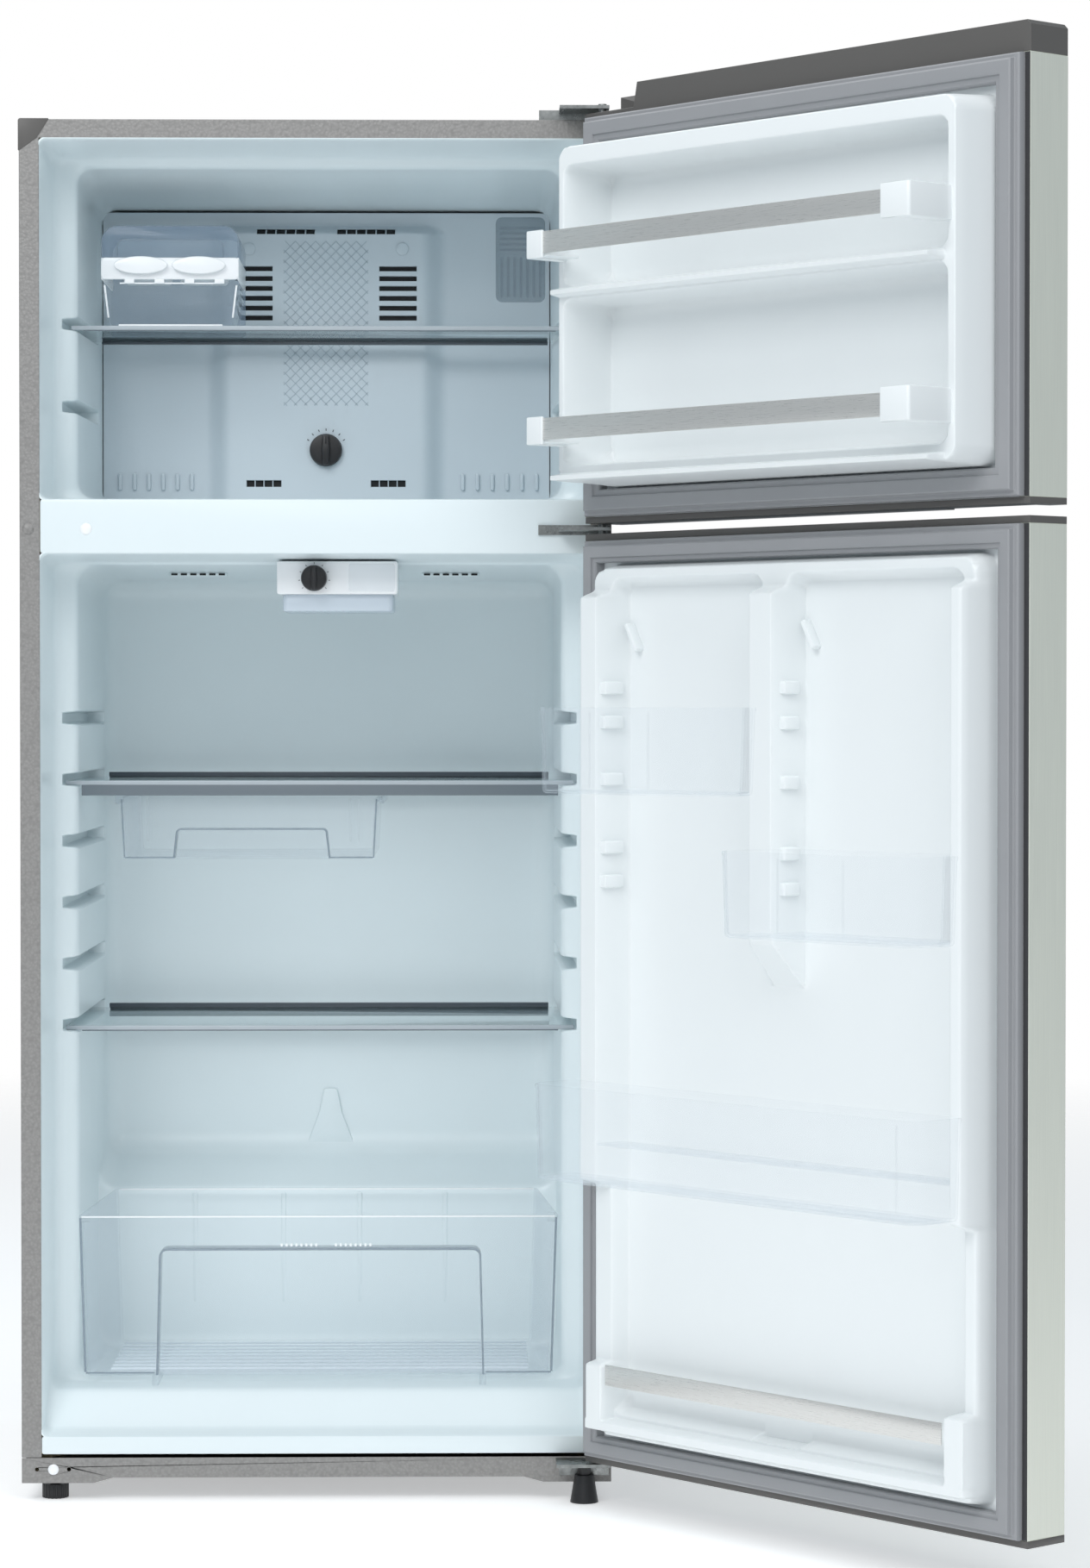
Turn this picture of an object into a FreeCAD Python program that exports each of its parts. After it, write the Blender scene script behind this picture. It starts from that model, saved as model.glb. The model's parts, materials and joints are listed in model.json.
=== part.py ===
"""Top freezer refrigerator, built as an assembly of separate pieces.

Frame: +X to the right seen from the front, +Y from the front into the cabinet, +Z up.
The origin is on the floor, below the middle of the cabinet's front plane. Millimetres.
Both doors are designed shut, in front of the plane Y = 0, and then turned wide open.
"""
import FreeCAD, Part
import math
import os

os.makedirs("parts", exist_ok=True)

V = FreeCAD.Vector
NODES = {}

# ---------------------------------------------------------------- driving dimensions
CASE_HALF = 355.0            # half the cabinet's width
CASE_DEPTH = 600.0
CASE_TOP = 1660.0
CASE_FOOT = 52.0             # lower edge of the steel case
STEEL = 1.5                  # case sheet
SHEET = 2.0                  # thermoformed liner sheet
FLANGE_IN = 331.0            # half width between the case's front flanges
FLANGE_TOP = 1637.7          # lower edge of the case's top flange

FREEZER_FLOOR = 1206.0
FREEZER_CEILING = 1635.5
FREEZER_STEP_Y = 130.0       # depth of the wide front zone that takes the door's plug
FREEZER_BACK = 470.0
FRIDGE_SILL = 78.0
FRIDGE_FLOOR = 126.0
FRIDGE_CEILING = 1139.5
FRIDGE_STEP_Y = 122.0
FRIDGE_BACK = 500.0
HUMP_Y = 370.0               # the compressor hump's front face inside the fridge
HUMP_TOP = 335.0
MOUTH_HALF = 330.3           # half width of both compartments at the mouth
STEP_OUT = 326.0             # half width of the wide zone at the step
STEP_IN = 296.5              # half width of the narrow zone at the step
GROOVE_HALF = 316.0          # half width between the bottoms of the shelf grooves
GROOVE_HEIGHT = 15.0

HINGE_X = 343.0              # door hinge axis
HINGE_Y = -35.0
PIN_R = 5.0
BUSH_R = 9.0
RUN = 0.06                   # radial running clearance of pins and shafts
DOOR_OPEN = 130.5            # degrees, both doors as stored

DOOR_BACK = -18.6            # the door panel's inner plane when shut
DOOR_FRONT = -78.3           # the door panel's outer plane when shut
DOOR_SKIN = 1.0
DOOR_RETURN = 340.0          # half width between the skin's inner returns
GASKET_FACE = -1.0
GASKET_HALF = 348.0
GASKET_WIDTH = 27.0

FREEZER_DOOR = (1182.0, 1657.0)      # steel skin, lower and upper edge
FREEZER_GASKET = (1182.1, 1656.6)
FREEZER_CAP_BOTTOM = 1174.7
FREEZER_CAP_TOP = 1691.0
FREEZER_CAP_BASE = 1662.0
FRIDGE_DOOR = (60.5, 1154.0)
FRIDGE_GASKET = (60.6, 1153.9)
FRIDGE_CAP_BOTTOM = 52.3
FRIDGE_CAP_TOP = 1162.0

SHELF_GLASS = 4.0
SHELF_FRONT = 133.0
GROOVE_LEVELS = [557.8 + 75.5 * k for k in range(6)]
LOWER_SHELF = GROOVE_LEVELS[0]
UPPER_SHELF = GROOVE_LEVELS[4]
FREEZER_LEVELS = [1317.5, 1419.0]
FREEZER_SHELF = FREEZER_LEVELS[1]

WALL = 2.5                   # clear drawer and bin walls
ROLLER_R = 16.0
ROLLER_Y = 560.0
LEFT_FOOT = (-317.0, 27.0)
RIGHT_FOOT = (322.0, -16.0)


# ---------------------------------------------------------------- shape helpers
def box(x0, x1, y0, y1, z0, z1):
    return Part.makeBox(x1 - x0, y1 - y0, z1 - z0, V(x0, y0, z0))


def mid_box(half, y0, y1, z0, z1):
    return box(-half, half, y0, y1, z0, z1)


def cyl_x(r, x0, x1, y, z):
    return Part.makeCylinder(r, x1 - x0, V(x0, y, z), V(1, 0, 0))


def cyl_y(r, y0, y1, x, z):
    return Part.makeCylinder(r, y1 - y0, V(x, y0, z), V(0, 1, 0))


def cyl_z(r, z0, z1, x, y):
    return Part.makeCylinder(r, z1 - z0, V(x, y, z0), V(0, 0, 1))


def fuse(shapes):
    first, rest = shapes[0], shapes[1:]
    return first.multiFuse(rest).removeSplitter() if rest else first


def cut(body, tools):
    for tool in tools:
        body = body.cut(tool)
    return body


def prism(points, direction):
    face = Part.Face(Part.makePolygon(points + [points[0]]))
    return face.extrude(direction)


def mirrored(points):
    """A closed outline, symmetric about X = 0, from its right half."""
    return points + [(-x, y) for x, y in reversed(points)]


def plan_prism(points, z0, z1):
    return prism([V(x, y, z0) for x, y in points], V(0, 0, z1 - z0))


def side_prism(points, half):
    return prism([V(-half, y, z) for y, z in points], V(2 * half, 0, 0))


def front_prism(points, y0, y1):
    return prism([V(x, y0, z) for x, z in points], V(0, y1 - y0, 0))


def tub(bottom, top, z0, z1, wall, floor):
    """A hollow tub lofted from the outline bottom at z0 to the outline top at z1."""
    def loft(a, za, b, zb):
        lower = Part.makePolygon([V(x, y, za) for x, y in a + [a[0]]])
        upper = Part.makePolygon([V(x, y, zb) for x, y in b + [b[0]]])
        return Part.makeLoft([lower, upper], True, True)

    def inset(outline):
        cx = sum(x for x, _ in outline) / len(outline)
        cy = sum(y for _, y in outline) / len(outline)
        return [(x - math.copysign(wall, x - cx), y - math.copysign(wall, y - cy))
                for x, y in outline]

    outer = loft(bottom, z0, top, z1)
    rise = floor / (z1 - z0)
    raised = [(a + (c - a) * rise, b + (d - b) * rise)
              for (a, b), (c, d) in zip(bottom, top)]
    over = [(c + (c - a) * 0.02, d + (d - b) * 0.02)
            for (a, b), (c, d) in zip(bottom, top)]
    return outer.cut(loft(inset(raised), z0 + floor, inset(over), z1 + 0.02 * (z1 - z0)))


def serpentine(x0, x1, y, z0, pitch, passes, r):
    """One bent tube that runs to and fro along X and climbs by pitch each time."""
    edges = []
    for k in range(passes):
        z = z0 + k * pitch
        start, end = (x0, x1) if k % 2 == 0 else (x1, x0)
        edges.append(Part.LineSegment(V(start, y, z), V(end, y, z)).toShape())
        if k < passes - 1:
            bulge = math.copysign(pitch / 2, end - start)
            middle = V(end + bulge, y, z + pitch / 2)
            edges.append(Part.Arc(V(end, y, z), middle, V(end, y, z + pitch)).toShape())
    ring = Part.Wire([Part.Circle(V(x0, y, z0), V(1, 0, 0), r).toShape()])
    return Part.Wire(edges).makePipeShell([ring], True, True)


def opened(shape):
    """Turn a piece of a shut door to where the stored part holds it."""
    turned = shape.copy()
    turned.rotate(V(HINGE_X, HINGE_Y, 0), V(0, 0, 1), DOOR_OPEN)
    return turned


def add(name, shape):
    NODES[name] = shape


def add_door(name, shape):
    NODES[name] = opened(shape)


# ---------------------------------------------------------------- compartments
def freezer_room(grow):
    """The freezer's hollow, grown by the sheet's thickness for the liner's outside."""
    front = -1.0 if grow == 0 else STEEL
    back = FREEZER_BACK + grow
    plan = mirrored([(MOUTH_HALF + grow, front), (STEP_OUT + grow, FREEZER_STEP_Y + grow),
                     (STEP_IN + grow, FREEZER_STEP_Y + grow), (284.0 + grow, back)])
    floor = FREEZER_FLOOR - grow
    side = [(front, floor), (FREEZER_STEP_Y + grow, floor + 2),
            (FREEZER_STEP_Y + grow, floor + 6), (back, floor + 6),
            (back, 1585.0 + grow), (FREEZER_STEP_Y + grow, 1616.0 + grow),
            (FREEZER_STEP_Y + grow, 1631.0 + grow), (front, FREEZER_CEILING + grow)]
    room = plan_prism(plan, 1000.0, 1700.0).common(side_prism(side, 400.0))
    slots = [mid_box(GROOVE_HALF + grow, FREEZER_STEP_Y - 1 + grow, 335 + grow,
                     z - 0.5 - grow, z - 0.5 + GROOVE_HEIGHT + grow) for z in FREEZER_LEVELS]
    return fuse([room] + slots)


def fridge_room(grow):
    front = -1.0 if grow == 0 else STEEL
    back = FRIDGE_BACK + grow
    plan = mirrored([(MOUTH_HALF + grow, front), (STEP_OUT + grow, FRIDGE_STEP_Y + grow),
                     (STEP_IN + grow, FRIDGE_STEP_Y + grow), (294.0 + grow, back)])
    side = [(front, FRIDGE_SILL - grow), (20.0, FRIDGE_SILL + 4 - grow),
            (58.0, FRIDGE_FLOOR - 1 - grow), (HUMP_Y + grow, FRIDGE_FLOOR - grow), (HUMP_Y + grow, HUMP_TOP - grow),
            (back, 372.0 - grow), (back, 1121.0 + grow),
            (FRIDGE_STEP_Y + grow, 1130.0 + grow), (FRIDGE_STEP_Y + grow, 1134.0 + grow),
            (front, FRIDGE_CEILING + grow)]
    room = plan_prism(plan, 0.0, 1300.0).common(side_prism(side, 400.0))
    slots = [mid_box(GROOVE_HALF + grow, FRIDGE_STEP_Y - 1 + grow, 468 + grow,
                     z - 0.5 - grow, z - 0.5 + GROOVE_HEIGHT + grow) for z in GROOVE_LEVELS]
    return fuse([room] + slots)


def cabinet():
    case = cut(mid_box(CASE_HALF, 0, CASE_DEPTH, CASE_FOOT, CASE_TOP), [
        mid_box(CASE_HALF - STEEL, STEEL, CASE_DEPTH + 1, CASE_FOOT - 1, CASE_TOP - STEEL),
        mid_box(FLANGE_IN, -1, STEEL + 1, CASE_FOOT - 1, FLANGE_TOP)])
    add("outer_case", case)

    inner = CASE_HALF - STEEL
    gland_hole = cyl_y(9.0, 590, 610, 250, 345)
    rear = mid_box(inner, CASE_DEPTH - STEEL, CASE_DEPTH, 324.0, CASE_TOP - STEEL)
    add("rear_panel", rear.cut(gland_hole))

    freezer_out, fridge_out = freezer_room(SHEET), fridge_room(SHEET)
    add("freezer_liner", freezer_out.cut(freezer_room(0)))
    sill = mid_box(FLANGE_IN, STEEL, STEEL + SHEET, 55.0, FRIDGE_SILL)
    drain = cyl_y(9.0, 480, 520, 0, 378)
    add("fridge_liner", fuse([fridge_out.cut(fridge_room(0)), sill]).cut(drain))

    cover = mid_box(FLANGE_IN, 0, 6, FRIDGE_CEILING + SHEET, FREEZER_FLOOR - SHEET)
    add("mullion_cover", cover.cut(cyl_y(5.0, -1, 7, -275.5, 1169.8)))
    bay = box(-400, 400, 448, 700, 0, 325.5)
    foam = cut(mid_box(inner, STEEL, CASE_DEPTH - STEEL, 56.0, CASE_TOP - STEEL),
               [freezer_out, fridge_out, NODES["mullion_cover"], sill, bay,
                cyl_y(5.0, 0, 30, -275.5, 1169.8), cyl_y(9.0, 590, 610, 250, 345)])
    add("cabinet_foam", foam)

    corner = front_prism([(-356.2, 1661.2), (-318.0, 1661.2), (-331.0, 1640.5),
                          (-333.5, 1637.0), (-356.2, 1621.0)], -0.7, 0)
    grey_plug = cyl_y(7.0, -2.4, 0, -345.0, 1169.8)
    white_plug = fuse([cyl_y(7.0, -2.0, 0, -275.5, 1169.8), cyl_y(4.9, 0, 14, -275.5, 1169.8)])
    kick_plug = cyl_y(6.5, -2.0, 0, -317.0, 37.5)
    add("case_plugs", Part.makeCompound([corner, grey_plug, white_plug, kick_plug]))

    outline = [(-355, 21), (-269, 21), (-245, 27.4), (249, 27.4), (273, 21), (355, 21),
               (355, 51.5), (-355, 51.5)]
    plate = cut(front_prism(outline, 0, STEEL),
                [cyl_y(2.4, -1, 3, x, 37.5) for x in (-336.7, -298.3)])
    add("kick_plate", plate)


def base():
    """Base pan with the bent bulkhead of the compressor bay, feet, rollers and machinery."""
    pan = mid_box(350, STEEL, 598, 27.5, 29.0)
    rails = [box(s * 350 - (STEEL if s > 0 else 0), s * 350 + (0 if s > 0 else STEEL),
                 STEEL, 598, 29.0, 51.5) for s in (-1, 1)]
    bulkhead = mid_box(350, 448.5, 450, 29.0, 322)
    roof = mid_box(350, 448.5, 598, 322, 323.5)
    ears = []
    for s in (-1, 1):
        for x in (s * 284.0, s * 316.0):
            ears.append(box(x - 1.5, x + 1.5, ROLLER_Y - 9, ROLLER_Y + 9, 6.0, 29.0))
    tools = [cyl_x(4.0 + RUN, -330, 330, ROLLER_Y, ROLLER_R)]
    tools += [box(s * 300 - 12, s * 300 + 12, ROLLER_Y - 20, ROLLER_Y + 20, 20, 40)
              for s in (-1, 1)]
    tools.append(cyl_z(4.0 + RUN, 20, 60, *LEFT_FOOT))
    add("base_tray", cut(fuse([pan] + rails + [bulkhead, roof] + ears), tools))

    wheels = [cyl_x(ROLLER_R, s * 300 - 9, s * 300 + 9, ROLLER_Y, ROLLER_R) for s in (-1, 1)]
    add("rear_rollers", fuse([cyl_x(4.0, -322, 322, ROLLER_Y, ROLLER_R)] + wheels))

    x, y = LEFT_FOOT
    knob = cyl_z(16.0, 0, 17, x, y)
    notches = [cyl_z(1.6, -1, 18, x + 16.4 * math.cos(a), y + 16.4 * math.sin(a))
               for a in [k * math.pi / 10 for k in range(20)]]
    add("left_foot", fuse([cut(knob, notches), cyl_z(6.5, 17, 21, x, y), cyl_z(4.0, 21, 48, x, y)]))
    x, y = RIGHT_FOOT
    boot = Part.makeCone(17.0, 11.5, 33.0, V(x, y, 0))
    nut = prism([V(x + 7.5 * math.cos(a), y + 7.5 * math.sin(a), 33.0)
                 for a in [k * math.pi / 3 for k in range(6)]], V(0, 0, 12.5))
    add("right_foot", fuse([boot, nut, cyl_z(4.0, 45.5, 50.5, x, y)]))

    pump = [cyl_z(58, 62, 140, -170, 522)]
    for z in (62, 140):
        dome = Part.makeSphere(58, V(0, 0, 0))
        squash = FreeCAD.Matrix()
        squash.scale(1, 1, 0.42)
        dome = dome.transformGeometry(squash)
        dome.translate(V(-170, 522, z))
        pump.append(dome)
    plate = box(-235, -105, 470, 574, 39.0, 42.0)
    corners = [(-222, 482), (-118, 482), (-222, 562), (-118, 562)]
    shell = fuse(pump + [plate])
    feet = [cyl_z(9.0, 29.0, 39.0, cx, cy) for cx, cy in corners]
    add("compressor", Part.makeCompound([shell] + feet))
    add("condenser_coil", serpentine(-40, 290, 520, 60, 24, 9, 3.2))
    gland = fuse([cyl_y(9.0, 590, 600, 250, 345), cyl_y(13.0, 600, 604, 250, 345),
                  cyl_y(7.5, 604, 612, 250, 345)])
    add("cord_gland", gland.cut(cyl_y(3.8, 585, 620, 250, 345)))


# ---------------------------------------------------------------- hinges
def hinges():
    pin = (HINGE_X, HINGE_Y)
    screws = []
    # top hinge, on the case's top
    foot = box(268, 346, 6, 74, CASE_TOP, CASE_TOP + 3)
    riser = box(268, 346, 3, 6, CASE_TOP, 1672)
    arm = box(292, 351, -44, 6, 1668, 1672)
    top_pin = cyl_z(PIN_R, 1657.5, 1674, *pin)
    top = cut(fuse([foot, riser, arm, top_pin]),
              [cyl_z(2.6, 1659, 1664, x, y) for x, y in ((282, 28), (332, 28), (307, 56))])
    add("top_hinge", top)
    for x, y in ((282, 28), (332, 28), (307, 56)):
        screws.append(fuse([cyl_z(5.0, 1663, 1666, x, y), cyl_z(2.5, 1660.2, 1663, x, y)]))

    # middle hinge, on the mullion between the two doors
    leaf = box(267, 352, -3, 0, 1162.5, 1174.4)
    arm = box(291, 353, -45, 0, 1166.3, 1170.3)
    middle_pin = cyl_z(PIN_R, 1157.0, 1181.0, *pin)
    middle_screws = (274.5, 285.0)
    holes = [cyl_y(2.6, -4, 1, x, 1168.6) for x in middle_screws]
    add("middle_hinge", cut(fuse([leaf, arm, middle_pin]), holes))
    for x in middle_screws:
        screws.append(fuse([cyl_y(4.3, -5.4, -3, x, 1168.6), cyl_y(2.5, -3, -0.2, x, 1168.6)]))

    # bottom hinge, on the kick plate, which also carries the right foot
    leaf = box(292, 352, -3, 0, 29.5, 50)
    arm = box(288, 353, -47, 0, 46, 50)
    low_pin = cyl_z(PIN_R, 46, 60.0, *pin)
    holes = [cyl_y(2.6, -4, 1, x, 38.5) for x in (302.5, 341.5)]
    holes.append(cyl_z(4.0 + RUN, 40, 60, *RIGHT_FOOT))
    add("bottom_hinge", cut(fuse([leaf, arm, low_pin]), holes))
    for x in (302.5, 341.5):
        screws.append(fuse([cyl_y(4.6, -6.0, -3, x, 38.5), cyl_y(2.5, -3, -0.2, x, 38.5)]))
    add("hinge_screws", Part.makeCompound(screws))


# ---------------------------------------------------------------- freezer fittings
def freezer_fittings():
    front, back, t = 350.0, 372.0, 2.5
    outline = [(-284, back), (-157, back), (-119, front), (119, front), (157, back), (284, back),
               (284, back + t), (156, back + t), (118, front + t),
               (-118, front + t), (-156, back + t), (-284, back + t)]
    cover = plan_prism(outline, 1213.0, 1586.0)
    slots = []
    for s in (-1, 1):
        for k in range(6):
            slots.append(box(min(s * 14, s * 89) + 12.7 * k, min(s * 14, s * 89) + 12.7 * k + 11,
                             340, 360, 1561.5, 1568))
            z = 1454 + 12.6 * k
            slots.append(box(min(s * 68, s * 116), max(s * 68, s * 116), 340, 360, z - 2.7, z + 2.7))
        for k in range(4):
            slots.append(box(min(s * 58, s * 101) + 11.2 * k, min(s * 58, s * 101) + 11.2 * k + 9.4,
                             340, 360, 1238, 1246))
    slots.append(cyl_y(4.0 + RUN, 340, 360, 0, 1284.6))
    add("evaporator_cover", cut(cover, [Part.makeCompound(slots)]))

    knob = fuse([cyl_y(20.8, 341, front - 0.4, 0, 1284.6),
                 box(-3.5, 3.5, 333, 341, 1264.5, 1304.7),
                 cyl_y(4.0, front - 0.4, 366, 0, 1284.6),
                 cyl_y(26.0, 362, 364, 0, 1284.6)])
    add("airflow_knob", knob.cut(box(2, 40, 361.9, 364.1, 1284.6, 1330)))

    lens = box(217.6, 281, 352, back, 1476, 1584)
    ribs = [box(224 + 9 * k, 227 + 9 * k, 350.6, 352, 1482, 1520) for k in range(6)]
    add("freezer_lamp_lens", fuse([lens] + ribs).cut(box(220, 278.6, 354.5, back + 1, 1478.5, 1581.5)))

    coil = serpentine(-225, 225, 425, 1232, 26, 8, 4.0)
    wide_coil = serpentine(-225, 225, 425, 1232, 26, 8, 4.3)
    fins = [box(x - 0.5, x + 0.5, 405, 445, 1222, 1424) for x in range(-195, 196, 39)]
    add("evaporator_coil", Part.makeCompound([coil] + [fin.cut(wide_coil) for fin in fins]))

    shaft_z = 1490.0
    motor = fuse([cyl_y(26, 398, 436, 0, shaft_z), cyl_y(2.0, 380, 398, 0, shaft_z),
                  box(-60, 60, 430, 434, shaft_z - 8, shaft_z + 8),
                  box(-60, -52, 434, 470, shaft_z - 8, shaft_z + 8),
                  box(52, 60, 434, 470, shaft_z - 8, shaft_z + 8)])
    add("fan_motor", motor)
    hub = cyl_y(13, 379, 395, 0, shaft_z)
    blades = []
    for k in range(5):
        blade = box(8, 54, 386, 388, shaft_z - 13, shaft_z + 13)
        blade.rotate(V(0, 387, shaft_z), V(1, 0, 0), 16)
        blade.rotate(V(0, 387, shaft_z), V(0, 1, 0), 72 * k)
        blades.append(blade)
    add("evaporator_fan", fuse([hub] + blades).cut(cyl_y(2.0 + RUN, 370, 397.5, 0, shaft_z)))


def ice_maker(glass_top):
    x0, x1 = -271.0, -99.0
    z_axis = 1496.0
    shafts = (-220.6, -149.4)
    deck = box(x0, x1, 147, 300, 1482, 1510).cut(box(x0 + WALL, x1 - WALL, 149.5, 297.5, 1480, 1512))
    rear = box(x0, x1, 297.5, 300, glass_top, 1510)
    hood = box(x0 + 0.5, x1 - 0.5, 190, 300, 1510, 1552)
    hood = hood.cut(box(x0 + WALL, x1 - WALL, 189, 297.5, 1509, 1549.5))
    window = box(x0 + 19, x1 - 19, 150, 195, 1510, 1533)
    frame = fuse([deck, rear, hood]).cut(window)
    frame = cut(frame, [cyl_y(4.0 + RUN, 140, 150, x, z_axis) for x in shafts])
    add("ice_frame", frame)
    for name, x in zip(("ice_twister_left", "ice_twister_right"), shafts):
        disc = Part.makeCylinder(33.0, 8.0, V(0, 0, 0), V(0, 1, 0))
        flat = FreeCAD.Matrix()
        flat.scale(1, 1, 0.33)
        disc = disc.transformGeometry(flat)
        disc.translate(V(x, 138.6, z_axis))
        tray = box(x - 31, x + 31, 158, 284, z_axis - 8, z_axis + 8)
        cells = []
        for i in range(2):
            for j in range(4):
                cx = x - 15 + 30 * i
                cy = 175 + 30.7 * j
                cells.append(box(cx - 12.5, cx + 12.5, cy - 13.5, cy + 13.5, z_axis - 6.2, z_axis + 9))
        shaft = cyl_y(4.0, 146.6, 158, x, z_axis)
        add(name, fuse([disc, shaft, cut(tray, cells)]))
    base_z = glass_top + 1.0
    low = [(x0 + 12, 158), (x1 - 12, 158), (x1 - 12, 286), (x0 + 12, 286)]
    high = [(x0 + 1, 150), (x1 - 1, 150), (x1 - 1, 292), (x0 + 1, 292)]
    bin_ = tub(low, high, base_z, 1480.5, WALL, WALL)
    add("ice_bin", bin_.cut(box(x0 + 14, x1 - 14, 284, 296, 1467, 1490)))


# ---------------------------------------------------------------- shelves and drawers
def shelf(name, z, half, inner, back, apron):
    """A glass shelf in a groove at height z: its front trim and the channel at its back.

    Only the glass and the trim's upper bar reach into the grooves; the rest stays within
    the half width inner.
    """
    glass_z = z + 1.0
    top = glass_z + SHELF_GLASS
    add(name + "_glass", box(-half, half, SHELF_FRONT, back, glass_z, top))
    front = fuse([mid_box(half, SHELF_FRONT - 4, SHELF_FRONT, glass_z, top + 0.6),
                  mid_box(inner, SHELF_FRONT - 4, SHELF_FRONT, glass_z - apron, glass_z)])
    channel = fuse([mid_box(inner - 6, back, back + 3, glass_z - 7.5, top + 6),
                    mid_box(inner - 6, back - 9, back, glass_z - 7.5, glass_z),
                    mid_box(inner - 6, back - 9, back, top, top + 6)])
    return [front, channel]


def shelves():
    add("freezer_shelf_trim", Part.makeCompound(
        shelf("freezer_shelf", FREEZER_SHELF, 305.0, 291.0, 322.0, 2.0)))
    ice_maker(FREEZER_SHELF + 1.0 + SHELF_GLASS)

    add("lower_shelf_trim", Part.makeCompound(
        shelf("lower_shelf", LOWER_SHELF, 313.0, 294.0, 452.0, 2.4)))

    upper_trim = shelf("upper_shelf", UPPER_SHELF, 313.0, 294.0, 452.0, 14.0)
    glass_z = UPPER_SHELF + 1.0
    rails = []
    for x, s in ((-253.0, 1), (77.0, -1)):
        wall = box(x - 1, x + 1, 150, 430, 838, glass_z)
        lip = box(min(x, x + 5 * s), max(x, x + 5 * s), 150, 430, 836, 838)
        rails.append(fuse([wall, lip]))
    add("upper_shelf_trim", Part.makeCompound(upper_trim + rails))

    x0, x1 = -246.0, 70.0
    low = [(x0 + 8, 148), (x1 - 8, 148), (x1 - 8, 420), (x0 + 8, 420)]
    high = [(x0, 139), (x1, 139), (x1, 426), (x0, 426)]
    tray = tub(low, high, 768.0, 844.5, WALL, WALL)
    flanges = [box(x0 - 5, x0 + 1, 152, 428, 838.6, 841), box(x1 - 1, x1 + 5, 152, 428, 838.6, 841)]
    add("snack_drawer", fuse([tray] + flanges))

    low = [(-283.5, 64), (283.5, 64), (262, 350), (-262, 350)]
    high = [(-291, 58), (291, 58), (268.6, 356), (-268.6, 356)]
    bin_ = tub(low, high, 140.0, 337.0, WALL + 0.5, WALL + 0.5)
    skids = [box(s * 200 - 4, s * 200 + 4, 75, 340, FRIDGE_FLOOR + 0.5, 140) for s in (-1, 1)]
    add("crisper_drawer", fuse([bin_] + skids))


def control():
    """Thermostat and lamp housing under the fridge's ceiling."""
    upper = fuse([box(-50, 97, 65, 121.5, 1092, 1133.6), box(-50, 97, 65, 210, 1092, 1127)])
    lower = box(-44, 92, 74, 204, 1072, 1092)
    hollow = fuse([box(-47.5, 94.5, 67.5, 119, 1094.5, 1140), box(-47.5, 94.5, 67.5, 207.5, 1094.5, 1124.5),
                   box(-41.5, 89.5, 76.5, 201.5, 1074.5, 1096)])
    window = box(37, 94, 60, 70, 1096, 1131)
    shell = cut(fuse([upper, lower]), [hollow, window, cyl_y(3.0 + RUN, 60, 70, -4.5, 1112.4)])
    add("control_housing", shell)
    add("fridge_lamp_lens", box(37.2, 93.8, 64.2, 67.4, 1096.2, 1130.8))
    knob = fuse([cyl_y(15.7, 50, 64.4, -4.5, 1112.4), box(-7.5, -1.5, 44, 50, 1097.5, 1127.3),
                 cyl_y(3.0, 64.4, 84, -4.5, 1112.4)])
    add("thermostat_knob", knob)


# ---------------------------------------------------------------- doors
def door_shell(name, skin_z, gasket_z, extra_core, liner_tools, liner_solids, core_tools):
    """Steel skin, foam, thermoformed liner and gasket of one shut door."""
    z0, z1 = skin_z
    skin = cut(mid_box(CASE_HALF, DOOR_FRONT, DOOR_BACK, z0, z1), [
        mid_box(CASE_HALF - DOOR_SKIN, DOOR_FRONT + DOOR_SKIN, DOOR_BACK - DOOR_SKIN, z0 - 1, z1 + 1),
        mid_box(DOOR_RETURN, DOOR_BACK - 3, DOOR_BACK + 1, z0 - 1, z1 + 1)])
    add_door(name + "_skin", skin)
    slab = mid_box(CASE_HALF - DOOR_SKIN, DOOR_FRONT + DOOR_SKIN, DOOR_BACK - SHEET, z0, z1)
    core = cut(fuse(extra_core), core_tools)
    add_door(name + "_foam", fuse([slab, core]))
    plate = mid_box(DOOR_RETURN, DOOR_BACK - SHEET, DOOR_BACK, z0, z1)
    add_door(name + "_liner", cut(cut(fuse([plate] + liner_solids), liner_tools), [core]))
    g0, g1 = gasket_z
    ring = mid_box(GASKET_HALF, DOOR_BACK, GASKET_FACE, g0, g1)
    inner = GASKET_HALF - GASKET_WIDTH
    groove = mid_box(GASKET_HALF - 9, DOOR_BACK + 5, GASKET_FACE - 5, g0 + 9, g1 - 9)
    groove = groove.cut(mid_box(inner + 9, -30, 10, g0 + GASKET_WIDTH - 9, g1 - GASKET_WIDTH + 9))
    hole = mid_box(inner, -30, 10, g0 + GASKET_WIDTH, g1 - GASKET_WIDTH)
    add_door(name + "_gasket", cut(ring, [hole, groove]))


def door_x(u0, u1):
    """X range, when shut, of a stretch measured from the hinge axis towards the handle edge."""
    return HINGE_X - u1, HINGE_X - u0


def door_box(u0, u1, w0, w1, z0, z1, grow=0.0):
    """A box in door measures: u from the hinge axis, w into the cabinet from the hinge axis."""
    x0, x1 = door_x(u0 - grow, u1 + grow)
    return box(x0, x1, HINGE_Y + w0 - grow, HINGE_Y + w1 + grow, z0 - grow, z1 + grow)


PLATE_W = DOOR_BACK - SHEET - HINGE_Y      # w of the liner plate's back


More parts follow.
